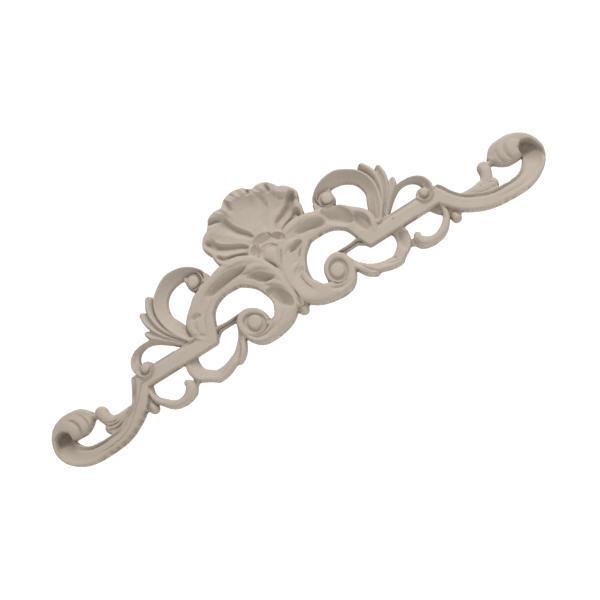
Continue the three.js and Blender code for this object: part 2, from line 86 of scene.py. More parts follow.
# Members of the right half. Each station: x, z, half width, height of the crest, and on the
# stem also the kind of its section there, as stem_share lists them
STEM_SCROLL = [
    [38, -3.5, 2.3, 13.4, -1], [38.6, 2, 2.6, 13.8, -1], [41.2, 7.8, 3.2, 14.2, -1],
    [46.6, 12.6, 3.6, 14.6, -1], [54, 14, 4, 14.8, -1], [60.5, 10, 4, 14.6, -1], [63.2, 3, 3.9, 14.4, -1],
    [62, -5.5, 4.2, 14.2, -1], [58.5, -12.4, 4.7, 14.2, -1], [51.8, -17.6, 5.6, 14.4, -1],
    [41, -17.8, 7, 14.8, -1], [31.2, -13.6, 10, 15.4, -1], [20.4, -7.2, 12, 16.2, -0.7],
    [13.5, 0, 12.4, 16.8, -0.2], [12.1, 13, 12.2, 17, 0], [14, 27.5, 13.6, 17, 0],
    [17.4, 37.2, 14.6, 17, 0], [24.6, 46.8, 15.4, 17, 0], [38.5, 54.8, 14.8, 17, 0],
    [50, 54.2, 12.4, 17, 0], [63, 53, 11.6, 16.5, 0], [77, 48.4, 11.8, 16, 0.1],
    [88.8, 37.7, 11.6, 15, 0.4], [94.2, 26, 12, 14, 0.7], [97, 16, 11.6, 13, 1], [100, 6, 10.4, 12.6, 1],
]
# The bar lies between two mitre lines, each from its foot to its top: x, z
MITRE_LEFT = [[90.8, 3.2], [112, 20.4]]
MITRE_RIGHT = [[171, 2.8], [180, 20.4]]
BAR_HEIGHT = 12.6
# How far members run past a mitre line, and the part of a stem's length that a mitre can cut
MITRE_LAP = 0.4
MITRE_PART = {"left": 0.86, "right": 0.2}
STEM_ARM = [
    [181.4, 2.6, 8.6, 12.8, 2], [187.6, -5.2, 8.3, 13, 2], [194.3, -11.2, 8.3, 13, 2],
    [202.6, -16.2, 8.5, 13, 2], [212, -20.5, 8.3, 13, 2], [222, -23.3, 8, 13, 2], [233, -24.4, 8.1, 13, 2],
    [245, -24.8, 8.4, 13, 2.1], [256.8, -23.3, 9.2, 13.5, 2.3], [267, -18.5, 10.5, 14, 2.6],
    [275.2, -11.1, 11.5, 14, 3], [279.4, -1, 10.8, 14, 3], [278, 6, 9, 14, 3],
]
UPPER_SCROLL = [
    [110.8, 25, 6.8, 13], [115.2, 33, 7.6, 13.5], [119.2, 42, 7.8, 14], [122.4, 51.5, 6.8, 14],
    [122.4, 60.5, 7, 14], [118.4, 71.2, 7, 14], [109, 79.6, 6.9, 14], [100.4, 83.6, 7.4, 14],
    [92, 84.2, 7, 14], [82.5, 82.6, 6, 13.8], [74, 79, 4.2, 13.5], [69, 74, 3.4, 13], [68.2, 68, 2.8, 12.5],
]
SMALL_SCROLL = [
    [124, 24, 2.4, 11], [133, 32.4, 2.8, 11], [140, 37.4, 2.8, 11], [147, 40.6, 2.6, 11],
    [154, 41.2, 2.4, 11], [160, 40.2, 2.7, 11.5], [165.9, 37.4, 3.5, 12], [170.6, 32.2, 4.5, 12.5],
    [172.2, 26, 4.9, 13], [171.6, 20, 4.6, 13],
]
LEAF_LOOP = [
    [63.8, 11, 2, 12], [65.8, 2, 3, 12], [71, -8.7, 4.9, 12], [78.3, -16.6, 6.3, 12], [87, -19.2, 5, 12],
    [97.3, -22, 5.7, 12], [106, -22.2, 6.2, 12], [113.2, -18, 6.2, 11.5], [120, -12.6, 7.2, 10.6],
    [123, -5, 7.4, 9.4], [122.8, 3, 7, 9],
]
HOOK = [
    [172.6, 3, 2.6, 9.5], [172.6, -5, 2.8, 10], [170.6, -12, 3.5, 11], [165.5, -18.2, 4.1, 12],
    [158.5, -23, 4.6, 12.5], [150, -25.2, 4.4, 13], [142, -24.2, 5.2, 13.5], [135.6, -20.2, 6, 14],
    [134.6, -15.6, 5, 14], [135.6, -12.9, 3.8, 13],
]
END_RIM = [
    [241, 13.4, 4.6, 12], [247, 17.8, 6.2, 14.2], [256, 19.2, 6.2, 15.6], [266, 18.3, 6, 16.4],
    [275, 15.2, 4.8, 16.4], [282, 9.7, 3.4, 16], [286, 2.5, 2.4, 15.6], [287.6, -6, 1.6, 14.6],
    [285.6, -14, 1, 13.8],
]
END_SLEEVE = [
    [239, 11.6, 2.9, 11], [243.8, 10, 6.4, 13.2], [251, 9, 10.4, 15.4], [259, 8.4, 11, 16.6],
    [263, 8, 10.6, 16.8],
]
TENDRIL = [
    [52, 16, 2.4, 11], [60, 15.4, 2.5, 11], [68, 15.1, 2.6, 10.5], [76, 15.2, 2.7, 10.5],
    [83, 15.4, 3.3, 10.5], [88.6, 11.8, 4, 8],
]
EYE_RING = [
    [37.6, -3, 2.2, 13.6], [39.2, -6.4, 1.9, 14.4], [41.6, -9.4, 1.7, 14.8], [45, -11.6, 1.6, 14.8],
    [50, -12.2, 1.5, 14.8], [55, -10.6, 1.4, 14.4], [58.6, -6.4, 1.3, 13.8], [60.4, -1, 1.2, 12.6],
]
UPPER_RING = [
    [71.8, 77, 1.3, 13], [70.4, 73, 1.3, 13.8], [70.4, 68.8, 1.3, 14.6], [71.8, 65, 1.3, 15.4],
    [75, 62.2, 1.3, 16], [79.6, 60.8, 1.3, 16], [84, 61.4, 1.3, 15],
]
SMALL_RING = [
    [174, 19, 2, 13], [172.4, 15.4, 1.7, 14.6], [169, 12.6, 1.6, 15], [164.6, 11.6, 1.5, 15],
    [160, 12.6, 1.4, 14.8], [157, 15.6, 1.3, 14.4], [155.6, 19, 1.2, 13],
]
BUD = [[177.4, -10, 3.4, 6], [178.4, -14.4, 5, 9], [178.8, -18.4, 5.2, 9.5]]
WEB = [[172, 1, 4, 6.4], [177, -6, 6, 6.8], [183.5, -14, 3.6, 6.4]]
BRACT_ROOT = [
    [197, -3, 2.8, 11], [205, -5, 4.5, 11.5], [213, -6.7, 6.9, 12], [221, -7.6, 8.4, 12],
    [227, -9, 6.8, 11.8],
]
BRACT_TIP = [[221.6, -6, 6.4, 12], [227, 1, 6, 12.5], [229, 6.6, 6.2, 12.5], [229, 10, 6.4, 12]]
NECK = [[228, 7.4, 4.6, 11.4], [233.4, 9.8, 3.6, 11], [238.6, 10.4, 2.6, 11]]
FINGERS = [
    [[116, 24, 1.6, 12.5], [122, 32, 2.4, 13], [127.5, 41, 3.3, 13.5], [131, 50, 4, 13.5],
     [132.6, 60, 4.4, 13.5], [131.4, 70, 4.8, 13.5], [127.5, 78.5, 4.6, 12.5]],
    [[120, 25, 1.6, 12], [128, 34, 2.1, 12.5], [134.5, 43, 2.9, 13], [138.8, 52, 3.5, 13],
     [140.8, 60, 3.9, 13], [140.7, 68.2, 4, 12]],
    [[125, 26, 1.6, 11.5], [133, 34, 2.1, 12], [139.5, 40.5, 2.9, 12.5], [144.5, 46, 3.6, 12.5],
     [146, 49.8, 3.4, 11.5]],
]
LEAF_TIPS = [
    [[70, -10, 3, 12.5], [76, -18, 4, 12.5], [81.5, -22.9, 3, 11.5]],
    [[94, -22.4, 3, 11.5], [102, -25.2, 3.4, 10], [109, -26, 2.6, 9]],
]
SCROLL_LOBES = [
    [[2.3, -8, 2.4, 15.6], [2.2, 4, 2.7, 16.6], [2.9, 12, 3.4, 17], [5.6, 19.5, 4.6, 17],
     [10.5, 25.2, 4.6, 16], [16, 27.3, 3.7, 15.2], [19.5, 28, 3, 14.4]],
    [[3.6, 31, 2.6, 16.5], [5.6, 37.4, 4, 17], [10.8, 44, 4.6, 17.2], [17.2, 49.2, 5, 17.2],
     [25, 50.4, 4.8, 16.8], [31, 50, 2.6, 15.2], [35, 49, 1, 14]],
    [[20, 58, 3.4, 17], [28, 61.8, 3.8, 17.6], [37.5, 64.3, 4.6, 17.8], [50, 64.2, 4.6, 17.6],
     [59.5, 61.2, 4.7, 17], [66.5, 55.8, 4, 15.8], [70, 50.6, 1.6, 13.5]],
    [[80.4, 57.4, 1.9, 15.8], [84.4, 55, 3.2, 15.8], [93, 46.4, 4.2, 15.4], [100.8, 38.8, 4.6, 15],
     [104, 34.2, 5, 14.8], [105.8, 27, 4.6, 14.4], [104.6, 20, 4.2, 13.6], [102, 14, 3, 12.6]],
]
VOLUTE_ROOT = [[24, -6, 6, 14.2], [31, -8.4, 4.8, 14.4], [37.5, -9, 4, 13.8]]
# Profiles of the cuts: share of the width, share of the depth
DROP = [[0, 0], [0.3, 1], [1, 0]]
SCOOP = [[0, 0], [0.1, 0.42], [0.5, 0.86], [0.78, 1], [1, 0]]
SPOON = [[0, 0], [0.07, 0.42], [0.4, 0.84], [0.66, 1], [1, 0]]
POCKET = [[0, 0], [0.25, 0.16], [0.75, 0.84], [1, 1]]
SOCKET = [[0, 0], [0.16, 0.9], [0.3, 1], [1, 1]]
THROAT = [[0, 0], [0.1, 0.6], [0.3, 0.86], [0.6, 0.96], [1, 1]]
# Profiles of round pieces: share of the radius, share of the height
DOME = [[0, 1], [0.6, 0.985], [0.82, 0.94], [0.93, 0.87], [1, 0.76]]
DISC = [[0, 1], [1, 1]]
LOBE_TOP = [[0, 1], [0.8, 1], [0.93, 0.97], [1, 0.9]]
# Scoops of each hand, cut beside a crest line. Each station: x, z, width of the cut, depth
HAND_SCOOPS = {
    "right": [
        [[31, 57, 4, 0], [35, 58, 6, 1.6], [42, 59.2, 9, 3], [50, 60, 11, 3.6], [58, 57.2, 11, 3.6],
         [65, 51.6, 8, 2.4], [68.6, 47, 4, 0]],
        [[13, 18, 3, 0], [17, 21.6, 5, 0.9], [21.5, 22.6, 5, 1.2], [24, 21, 3, 0]],
    ],
    "left": [
        [[25, 54, 3, 0], [29, 55.6, 5, 2], [35, 57.4, 8, 3.4], [42, 59, 10, 4], [50, 59.4, 11, 4.4],
         [60, 58, 11, 4.2], [68, 56, 10, 3.4], [75, 53, 8, 2], [79, 50.4, 5, 0]],
        [[5.4, 28.6, 3, 0], [7.4, 30.8, 5, 2.4], [10.4, 34.4, 9, 3.8], [14.6, 39.2, 11, 4.4],
         [19, 42.4, 11, 4.4], [24.6, 44.6, 8, 3.6], [30, 45, 5, 2], [34.4, 44.6, 3, 0]],
    ],
}
# Spoon cuts of each hand: x, z, half length across and along the wall, the way to the wall in degrees, depth
HAND_SPOONS = {
    "right": [
        [27, 43.6, 3.4, 8.4, 104, 2.8], [78.6, 47.4, 11, 17, 41, 4.8], [96.4, 29.4, 8, 10.6, 8, 4.4],
        [121.6, -10, 8, 11, -10, 3],
    ],
    "left": [
        [13.8, 7.8, 8.6, 15.8, 153, 5], [96, 37.4, 3.4, 5.4, 95, 1.8], [102.6, 19, 2.6, 7, -60, 0.9],
    ],
}
# Knife lines of each hand. Each station: x, z, half width, depth
HAND_KNIFE_LINES = {
    "right": [
        [[33, -11.4, 2.6, 0.4], [40, -15.4, 3.6, 2.4], [47, -16.8, 3.2, 1.9], [55, -14.6, 2.4, 0]],
        [[103.8, -20.6, 1.2, 1.6], [105.8, -20.2, 1.2, 1.6]],
        [[123.2, 14.2, 1.3, 2], [124.4, 14.2, 1.3, 2]],
        [[220, -25.4, 2, 0], [233, -26.8, 2.4, 0.6], [248, -27.4, 2.4, 0.6], [262, -25, 2, 0]],
        [[213.6, -3.6, 0.8, 0.3], [214.6, -5.6, 1, 1.4], [213.8, -8, 0.8, 0]],
        [[217.4, -5.2, 0.8, 0.2], [219.4, -6.4, 0.9, 0.8], [219.4, -8.4, 0.7, 0]],
        [[223.4, -6, 0.8, 0.4], [225.8, -8, 1.1, 1.4], [228.4, -9.6, 1, 0.5]],
        [[224, -12.4, 0.8, 0.3], [226.6, -13.4, 1, 1], [228.6, -14.2, 0.8, 0.4]],
        [[15, 16, 0.8, 0.2], [15.2, 11, 0.9, 1.6], [15.8, 6, 0.9, 1.6], [17.8, 0, 0.9, 1.3],
         [20.4, -9, 0.7, 0]],
        [[22, 30.4, 1, 0], [26.4, 35.6, 1.5, 2.4], [32, 41, 1.2, 0.8]],
        [[22.8, 22, 0.9, 0.4], [22.4, 15, 1, 1.5], [22.6, 8, 0.9, 1], [24, 2, 0.7, 0]],
    ],
    "left": [
        [[30, -11.6, 2.2, 0], [37, -14.2, 3.2, 2], [46, -15.8, 3.6, 2.4], [55, -13.4, 3.2, 2.2],
         [60.6, -7.4, 2, 0.6]],
        [[165, 10, 0.8, 0.3], [172, 10, 0.9, 0.9], [177.6, 9.4, 0.9, 1.3], [182, 4.6, 0.9, 1.4],
         [188, -2, 0.9, 1.2], [195, -9, 0.9, 1.2], [201, -14.8, 0.9, 1.1], [208, -20.4, 0.9, 1.1],
         [216, -24.4, 0.9, 1.2], [226, -27, 1, 1.2], [240, -27.8, 1, 1], [252, -26.4, 1, 0]],
        [[231, -6.4, 0.9, 0.3], [226, -9.2, 1.1, 2.2], [219, -10.6, 1.1, 2.2], [212, -9.4, 1, 1],
         [206, -6.6, 0.8, 0]],
        [[228, -5, 0.9, 0.3], [221, -7.4, 1, 1.8], [213, -7, 0.8, 0.3]],
        [[231, -12, 0.9, 0.8], [224, -14, 1.2, 2.2], [217, -14, 1.1, 1.5], [209, -11, 0.8, 0]],
        [[183.4, 14, 1.6, 0.4], [189.4, 5.4, 2, 1.5], [196.4, -2, 2.2, 1.6], [205, -8.4, 2.2, 1.5],
         [214, -13.4, 2.2, 1.4], [223, -17, 2, 1.2], [233, -19.4, 2, 1], [246, -19.6, 2, 1],
         [256, -17, 2, 0.8], [262, -11, 1.6, 0]],
        [[138.6, -13, 0.8, 0.4], [137.4, -16, 0.8, 0.9], [138.4, -19.4, 0.8, 0.3]],
        [[11.6, 13, 0.7, 0], [12, 5, 0.8, 0.7], [15, -2, 0.8, 0.9], [20, -8, 0.8, 0.9], [25, -12, 0.8, 0.9],
         [31, -14.6, 0.8, 0.7], [37, -15.5, 0.7, 0]],
        [[47.8, 49.7, 0.7, 0.2], [60, 47.6, 0.8, 0.7], [73.8, 44, 0.8, 0.9], [80, 39, 0.8, 0.9],
         [86.2, 34.3, 0.8, 0.9], [90, 29.5, 0.8, 0.9], [92.9, 22.8, 0.8, 0.8], [95.7, 12.2, 0.7, 0.3]],
    ],
}
# Round eyes of the scrolls: x, z, radius, height
BOSSES = [[49.2, -0.3, 8, 15], [80.2, 69, 6.7, 13.4], [164.8, 20, 4.9, 14.4]]
# Sockets sunk round the small eyes. Each station: x, z, half width, height of the floor
SOCKETS = [[[163.6, 18.8, 7.6, 11], [166, 18.8, 7.6, 11]], [[78.4, 69.4, 9, 9.4], [80.4, 69.4, 9, 9.4]]]
# Round floors under the eyes and in the mouth: x, z, radius, height
HOLLOWS = [
    [48.8, 0, 11.6, 12], [79.4, 69, 9, 10], [163.2, 19.4, 7.4, 9.4], [85.4, 75, 2.8, 10], [274, 5, 7, 4],
]
# Low ground that joins the fingers, the leaf, the hook and the bract
GROUNDS = [
    [[122, 24, 3, 10.4], [131, 36, 5, 10.8], [138.6, 44, 5, 10.8], [143, 48.4, 3, 10]],
    [[112, 20, 6, 9], [120, 28, 8, 10.4], [127, 41, 8.5, 10.6], [133.5, 54, 7.5, 10.6], [136, 63, 4.4, 10]],
    [[127, -15, 3.4, 7], [132.6, -18.5, 3.4, 7]],
    [[66, 70, 2.6, 12.6], [66.4, 66, 3.6, 12.6], [69, 63.4, 3, 13]],
    [[208, -10, 4, 10.6], [220, -14, 4, 10.8], [227, -15, 3, 10.8]],
]
# Low ground below the bar, on the right half only
RIGHT_CORNER = [[164.6, 2, 3.4, 5.5], [169, -4.2, 3.2, 5.5]]
# Ground and creases of the stalk between the two halves
MIDDLE_GROUND = [
    [2, 67, 11, 10.5], [2, 61, 17, 13.6], [2, 56, 18, 14.4], [2, 51, 13, 15.4], [2, 45, 8, 12.5],
    [1.8, 38, 5, 13], [1.3, 31, 4, 15.8], [1.2, 14, 4.5, 16.2], [1, 2, 4, 15], [0.4, -8, 3.6, 12.5],
]
MIDDLE_CREASES = [
    [[-6.8, 48, 2.6, 1.4], [-4.4, 43, 3, 2], [-1.8, 37.8, 2, 1.4], [0.4, 33.4, 1, 0.5]],
    [[12, 48, 1.8, 1.8], [9, 43, 2, 2.6], [6, 37.6, 1.6, 2], [3.8, 32.6, 1, 0.6]],
    [[2.4, 9, 0.9, 1], [2.4, 4, 1.3, 3], [2.2, -2, 1.4, 3.2], [1.6, -8, 1.6, 2]],
]
# The end curl: its mouth, and the rings round its sleeve
MOUTH = [
    [275, 2.4, 8.6, 3.4], [276.6, -2.6, 8.8, 5.8], [278.2, -8, 8, 9.2], [277.6, -14, 6.6, 12],
    [274, -19, 5, 14],
]
SLEEVE_STEPS = [
    [[248, -2.4, 4, 0.6], [245, 2.6, 5, 1.5], [243.8, 8.6, 5, 1.5], [245, 14.4, 5, 1.4],
     [248.6, 19.4, 4, 0.4]],
    [[256.4, -4, 5, 1], [253.4, 1, 6, 2.2], [252.2, 7, 6, 2.3], [253.6, 13, 6, 2.2], [257.4, 17.6, 5, 1.5],
     [263, 19.6, 4, 0]],
]
# How far the left half stands off a true mirror copy: x, z, and the shift in x and z there
HAND_SHIFTS = [
    [3, 0, 0, 0], [3, 30, 0, 0], [5, 60, 0, 0], [24, 5, -2.8, 0], [24, 25, -1.4, 0], [60, -8, -1, 1],
    [45, 30, -0.5, 0], [80, 35, -1, 0.5], [66, 68, 0, 0.6], [85, 85, 0, 2], [105, 75, 0.7, 2],
    [100, 48, 1.2, 0.7], [122, 45, 1, 0.2], [135, 62, 1.4, 1.4], [160, 35, 2, 1.5], [176, 25, 1.8, 1],
    [92, 3, 0.8, 0.4], [110, 10, 0.3, 0.5], [150, 8, 0.8, 1.6], [170, 3, 2, 1.4], [100, -22, 1.5, -2.2],
    [75, -15, 0, -1], [120, -10, 2, -1.5], [150, -22, 2.5, -2.4], [172, -12, 2.3, 0], [178, -18, 1, 0.9],
    [195, -8, 2, -1.2], [222, 0, -1, -1.8], [245, 8, -1.5, -1.6], [262, 5, -1, 0.3], [262, -15, -0.5, -0.5],
    [284, 0, -3, 0.8],
]
# Within this distance a shift counts at nearly its full weight
SHIFT_REACH = 8
# Knife lines on both halves. Each station: x, z, half width, depth
KNIFE_LINES = [
    [[72.6, -6, 1, 0.6], [74.4, -12.5, 2, 1.8], [78.6, -18.4, 2.2, 2.2], [84.4, -24, 1.6, 1.2]],
    [[90, -19.6, 1, 0], [96, -22.2, 1.6, 1], [103, -24.4, 2, 1.2], [109, -26, 1.6, 0.3]],
    [[133, -12.6, 1.4, 0], [131.2, -17.6, 2.4, 2.6], [131.6, -22, 2.6, 3.6], [134.6, -26, 2.2, 2.8],
     [139.4, -28.4, 1.8, 0.6]],
    [[172, -6, 1.1, 0.3], [167.6, -13.4, 1.2, 1.4], [161.6, -18.6, 1.1, 1], [155, -21.4, 1, 0]],
]

# Centre pieces, not mirrored
CABOCHON = [[1.6, 50.4, 9.8, 17.2], [2, 45, 6.4, 16.8], [2.2, 38.4, 3, 15.8], [2, 31, 1.2, 15.2]]
BOTTOM_BUD = [
    [2, 33, 3, 10.5], [1.4, 16, 3, 10], [0.5, 6, 3, 9.5], [0, -5, 5, 10.5], [0, -10, 7.6, 11],
    [0, -14, 5.4, 12],
]
# Round lobes of the collar: x, z, radius, height
COLLAR_LOBES = [[1.6, 66, 10.6, 15.2], [16.2, 62.6, 8, 14.8], [-11.4, 62.4, 7.2, 14.8]]
# Spoon cuts that hollow out the collar
COLLAR_SPOONS = [
    [3, 68.4, 6.8, 9.4, 90, 4.4], [-9.6, 62.8, 4.6, 6.2, 125, 3.4], [17.4, 61.6, 5, 7.4, 45, 3.6],
]
# The rib round the cabochon: x, z, radius, half width, height
RIB = (1.4, 50.4, 12, 1.1, 16.8)
# The fan: its hinge, its edge as degrees from upright and radius, the level of its dish, and
# the rise over that level by the share of the way out
HINGE = (2, 58)
FAN_EDGE = [
    [0, 71.3], [10, 69.4], [16.5, 65.4], [22, 68.2], [29, 69.8], [36, 68], [41, 66], [45, 67.2], [49, 67.8],
    [55, 67.4], [58.4, 66.4], [61, 63], [64.7, 58], [68.5, 56.8], [72, 54.6], [76, 52.4], [84, 45],
]
FAN_LEVEL = 12.8
LIP_RISE = [
    [0, 1.5], [0.12, 1.2], [0.3, 0.2], [0.5, -0.6], [0.66, -0.5], [0.76, 0.7], [0.83, 2.7], [0.875, 4.7],
    [0.905, 5.3], [0.95, 5.2], [0.98, 4.8], [1, 3.7],
]
FAN_SIDE = 84
# Steps that part the flutes. Each station of a crest: x, z, width of the step, depth
LEFT_STEPS = [
    [[-2.4, 75, 4, 0], [-2.8, 77.6, 8, 2.2], [-4.6, 83.2, 10, 3.4], [-8.4, 88.8, 11, 3.8],
     [-12.6, 94.8, 12, 4], [-15.6, 101, 13, 3.8], [-17.4, 107.6, 11, 3], [-17.8, 111.5, 7, 0]],
    [[-11.8, 68, 4, 0], [-13.2, 71.4, 7, 2.4], [-18, 77, 10, 3.4], [-25, 81.2, 11, 3.6], [-32, 85.6, 12, 4],
     [-37.4, 89.8, 13, 4.4], [-39.4, 93.8, 12, 3.6], [-38.8, 97.6, 8, 0.8], [-37, 100, 6, 0]],
    [[-18, 63, 4, 0], [-18.8, 65.6, 6, 1.6], [-22.6, 69, 8, 2.2], [-28.6, 71.4, 9, 2.4],
     [-35, 73.2, 9, 2.4], [-40.6, 74.8, 8, 2.6], [-44.4, 76.6, 6, 0.4], [-46, 78, 4, 0]],
]
RIGHT_STEPS = [
    [[8.4, 74.5, 5, 0], [9, 79, 8, 1.1], [11, 85.4, 10, 1.4], [14.6, 91.6, 11, 1.4], [18.2, 97.6, 10, 1.6],
     [20.6, 103, 8, 1.8], [21.6, 108.6, 6, 1.2], [22, 112, 4, 0]],
    [[19, 67, 4, 0], [19.4, 72.4, 7, 1.8], [21.8, 77.6, 9, 3], [27.6, 81.4, 11, 3.8], [34.6, 84.8, 12, 4.2],
     [40.4, 88, 14, 4.8], [43.8, 92, 15, 5], [47.4, 96, 14, 4.6], [51.5, 98, 10, 2], [54, 98, 6, 0]],
    [[22.4, 61.4, 4, 0], [23.2, 65, 6, 1.4], [26.4, 68.4, 8, 2], [32.6, 71.4, 8, 2.2], [38.6, 73.4, 8, 2.8],
     [42, 76.4, 9, 4.2], [45.6, 78.6, 10, 4.2], [50, 77, 8, 2.2], [52, 74.5, 6, 0]],
]
# Pockets under the lip. Each station: x, z, half width, height of the floor
LIP_POCKETS = [
    [[-37.6, 112.4, 4, 12.6], [-33.6, 112.4, 5, 12], [-28.6, 111.4, 4.6, 12], [-24, 109.6, 3, 12.4]],
    [[-47, 94.4, 4.4, 11.4], [-45, 91, 4.8, 11], [-42.6, 87.6, 4, 10.8]],
    [[-44.6, 76, 3.4, 12.6], [-42.6, 73, 3.6, 12], [-38, 71.4, 3, 12]],
    [[51.6, 91.6, 4.6, 9.6], [49.6, 89.6, 6.4, 8.8], [46, 86.4, 4.6, 9.4]],
    [[44.2, 75.4, 3.6, 11], [46.6, 73, 5, 10], [46.8, 70, 4, 10.4]],
    [[14.8, 124.4, 2.6, 12.6], [15.6, 121.4, 3.8, 11], [14.6, 118, 3, 12.6]],
    [[-10.4, 125.4, 3, 15.4], [-9.4, 119, 5, 13.6], [-9.4, 113.4, 4, 12.8]],
    [[34.6, 114, 3, 14.4], [34, 109, 3, 13]],
    [[38.6, 96, 3.4, 12.8], [41.4, 93.6, 2.6, 13]],
]
# Folds of the lip: a fold stands up where its depth is below 0
LIP_FOLDS = [
    [[-10.4, 127.5, 1.8, -0.6], [-7.4, 123.4, 2.2, -1.6], [-4.4, 119.4, 2, -0.9]],
    [[1.6, 127.6, 2.2, -0.6], [2.6, 123, 2.4, -1], [4.8, 119, 2, -0.7]],
    [[9.5, 127, 2, -0.6], [10.6, 122.6, 2, -1.2], [11.6, 119.4, 1.8, -0.9]],
    [[-25, 119.6, 2.2, -0.6], [-22, 116, 2.2, -1.6], [-18.2, 112.6, 1.8, -1.1]],
    [[-15.6, 119.4, 2.2, -0.6], [-14.6, 114.8, 2.6, -1.6], [-14.4, 109.6, 2.2, -1.2]],
    [[20.6, 118.4, 1.8, -0.6], [22, 114.6, 1.6, -1.6], [25, 112, 1.4, -1.2]],
    [[28, 119, 2.8, -0.6], [28.6, 114.4, 2.8, -1.2], [29.4, 110, 2, -0.5]],
    [[41.4, 114, 2.4, -0.8], [42.4, 109.4, 2.4, -0.8], [40, 104.4, 4, -1.2], [42, 100.6, 4, -1.2]],
    [[-2.2, 127, 1.3, 1.4], [-0.4, 125, 1.5, 1.8], [0.4, 122.4, 1.1, 0.6]],
    [[-19.8, 119, 1.1, 0.7], [-18.8, 115.4, 1.2, 1.2], [-17.6, 113, 0.9, 0.4]],
    [[6.4, 126.4, 1.1, 0.7], [6.8, 121, 1.2, 1]],
    [[24.4, 119, 1, 0.7], [23.9, 116, 1.2, 1], [25.2, 114, 0.9, 0.4]],
    [[36.6, 116, 0.9, 1.1], [38.4, 112.2, 0.9, 1], [39.6, 109, 0.8, 0.4]],
    [[33, 115.2, 0.9, 0.8], [35.6, 111, 1, 1.3], [36.6, 107.4, 0.8, 0.6]],
    [[35.6, 103.4, 1.6, 0.8], [36.8, 99.6, 2, 1]],
    [[-39.4, 86.4, 0.9, 0.6], [-43.4, 85, 0.9, 0.7], [-49, 83.8, 0.8, 0.3]],
    [[23.4, 59.2, 0.9, 0.6], [26.4, 60.6, 1.1, 1.2], [31, 62.2, 0.9, 0.3]],
]
# Painted shade: how far the face round about is averaged, the depth below it that is painted fully dark,
# the height below which low places are painted darker and by how much, and the same for the painted shade
# toward the left end
BROAD_REACH = 2.4
DARK_DEPTH = 6.6
LOW_HEIGHT, LOW_SHARE = 8, 0.3
END_START, END_REACH, END_SHARE = 150, 60, 0.08
# Spots of painted shade, in the mouths of the end curls and under the left arm: x, z, radius, strength
SHADE_SPOTS = [
    [-270, 5, 6, 0.6], [274, 4, 8, 0.2], [-190, -18, 3.4, 0.5], [-197, -23.4, 3.4, 0.6],
    [-205, -27.8, 3.4, 0.6], [-213, -31, 3.4, 0.6], [-221, -33, 3.2, 0.7], [-229, -34, 3, 0.8],
    [-237, -34.2, 3, 0.7], [-245, -33.8, 2.6, 0.5],
]
# The last part of the crests' height, which is pressed together to keep within the thickness
SHOULDER = 4.0
# Gouge marks left in the flutes. Each: start, end, half width, depth
GOUGE_MARKS = [
    ([21.6, 93.4], [26.6, 97.6], 1, 1), ([22.2, 96.2], [27.2, 101.4], 1.2, 1.4),
    ([24.4, 91.2], [29.4, 94.6], 1, 1), ([28.4, 88.6], [34.6, 91.4], 0.9, 0.7),
    ([14.6, 94.2], [17.6, 99.4], 0.8, 0.6), ([12, 96.4], [14.4, 101.6], 0.7, 0.5),
    ([-30.4, 86.8], [-22.4, 82.2], 0.8, 0.6), ([-28.4, 90], [-19.6, 83.6], 0.8, 0.5),
    ([27.4, 78.2], [38.6, 80.6], 0.9, 0.7), ([27.6, 75.4], [38.4, 77.4], 0.9, 0.7),
    ([-31, 75.6], [-22, 71.6], 0.8, 0.6),
]

# The studio, in metres: what the camera and the lights aim at, and the floor
AIM = Vector((0.0016, -0.010, -0.0047))
CAMERA_TURN = math.radians(-0.129)
FLOOR_HALF = 1.6
FLOOR_LEVEL = -0.8

# Sections: place across the member from -1 to 1, and share of its crest height
SECTION_SCROLL = [
    [-1, 0.7], [-0.96, 0.77], [-0.89, 0.8], [-0.83, 0.775], [-0.77, 0.8], [-0.6, 0.81], [-0.4, 0.795],
    [-0.25, 0.775], [0, 0.81], [0.3, 0.91], [0.6, 0.99], [0.7, 1], [0.85, 0.975], [0.95, 0.92], [1, 0.86],
]
SECTION_VOLUTE = [
    [-1, 0.72], [-0.9, 0.86], [-0.7, 0.96], [-0.3, 1], [0.25, 1], [0.6, 0.965], [0.82, 0.88], [0.94, 0.78],
    [1, 0.68],
]
SECTION_BAR = [
    [-1, 0.93], [-0.94, 0.95], [-0.5, 0.955], [0, 0.955], [0.3, 0.95], [0.45, 0.925], [0.56, 0.87],
    [0.68, 0.845], [0.8, 0.85], [0.92, 0.9], [1, 0.89],
]
SECTION_ARM = [
    [-1, 0.86], [-0.92, 0.93], [-0.5, 0.95], [-0.2, 0.945], [0.2, 0.95], [0.34, 0.94], [0.43, 0.87],
    [0.54, 0.78], [0.66, 0.76], [0.78, 0.83], [0.86, 0.93], [0.93, 0.94], [1, 0.86],
]
SECTION_MOUTH = [
    [-1, 0.76], [-0.9, 0.88], [-0.72, 0.86], [-0.5, 0.66], [-0.2, 0.54], [0.1, 0.48], [0.4, 0.46],
    [0.7, 0.5], [1, 0.56],
]
SECTION_HOLLOW = [
    [-1, 0.8], [-0.93, 0.93], [-0.8, 1], [-0.62, 0.99], [-0.48, 0.9], [-0.1, 0.74], [0.3, 0.6], [0.7, 0.5],
    [1, 0.46],
]
SECTION_SMALL = [
    [-1, 0.6], [-0.6, 0.64], [-0.2, 0.72], [0.15, 0.84], [0.35, 0.97], [0.6, 1], [0.88, 0.95], [1, 0.8],
]
SECTION_TENDRIL = [
    [-1, 0.74], [-0.86, 0.82], [-0.68, 0.78], [-0.5, 0.6], [-0.2, 0.56], [0, 0.7], [0.2, 0.96], [0.6, 1],
    [1, 0.84],
]
SECTION_FINGER = [[-1, 0.66], [-0.8, 0.88], [-0.5, 0.99], [-0.3, 1], [0.2, 0.88], [0.7, 0.7], [1, 0.56]]
SECTION_RIM = [[-1, 0.84], [-0.85, 0.93], [-0.4, 1], [0.3, 1], [0.75, 0.97], [1, 0.9]]
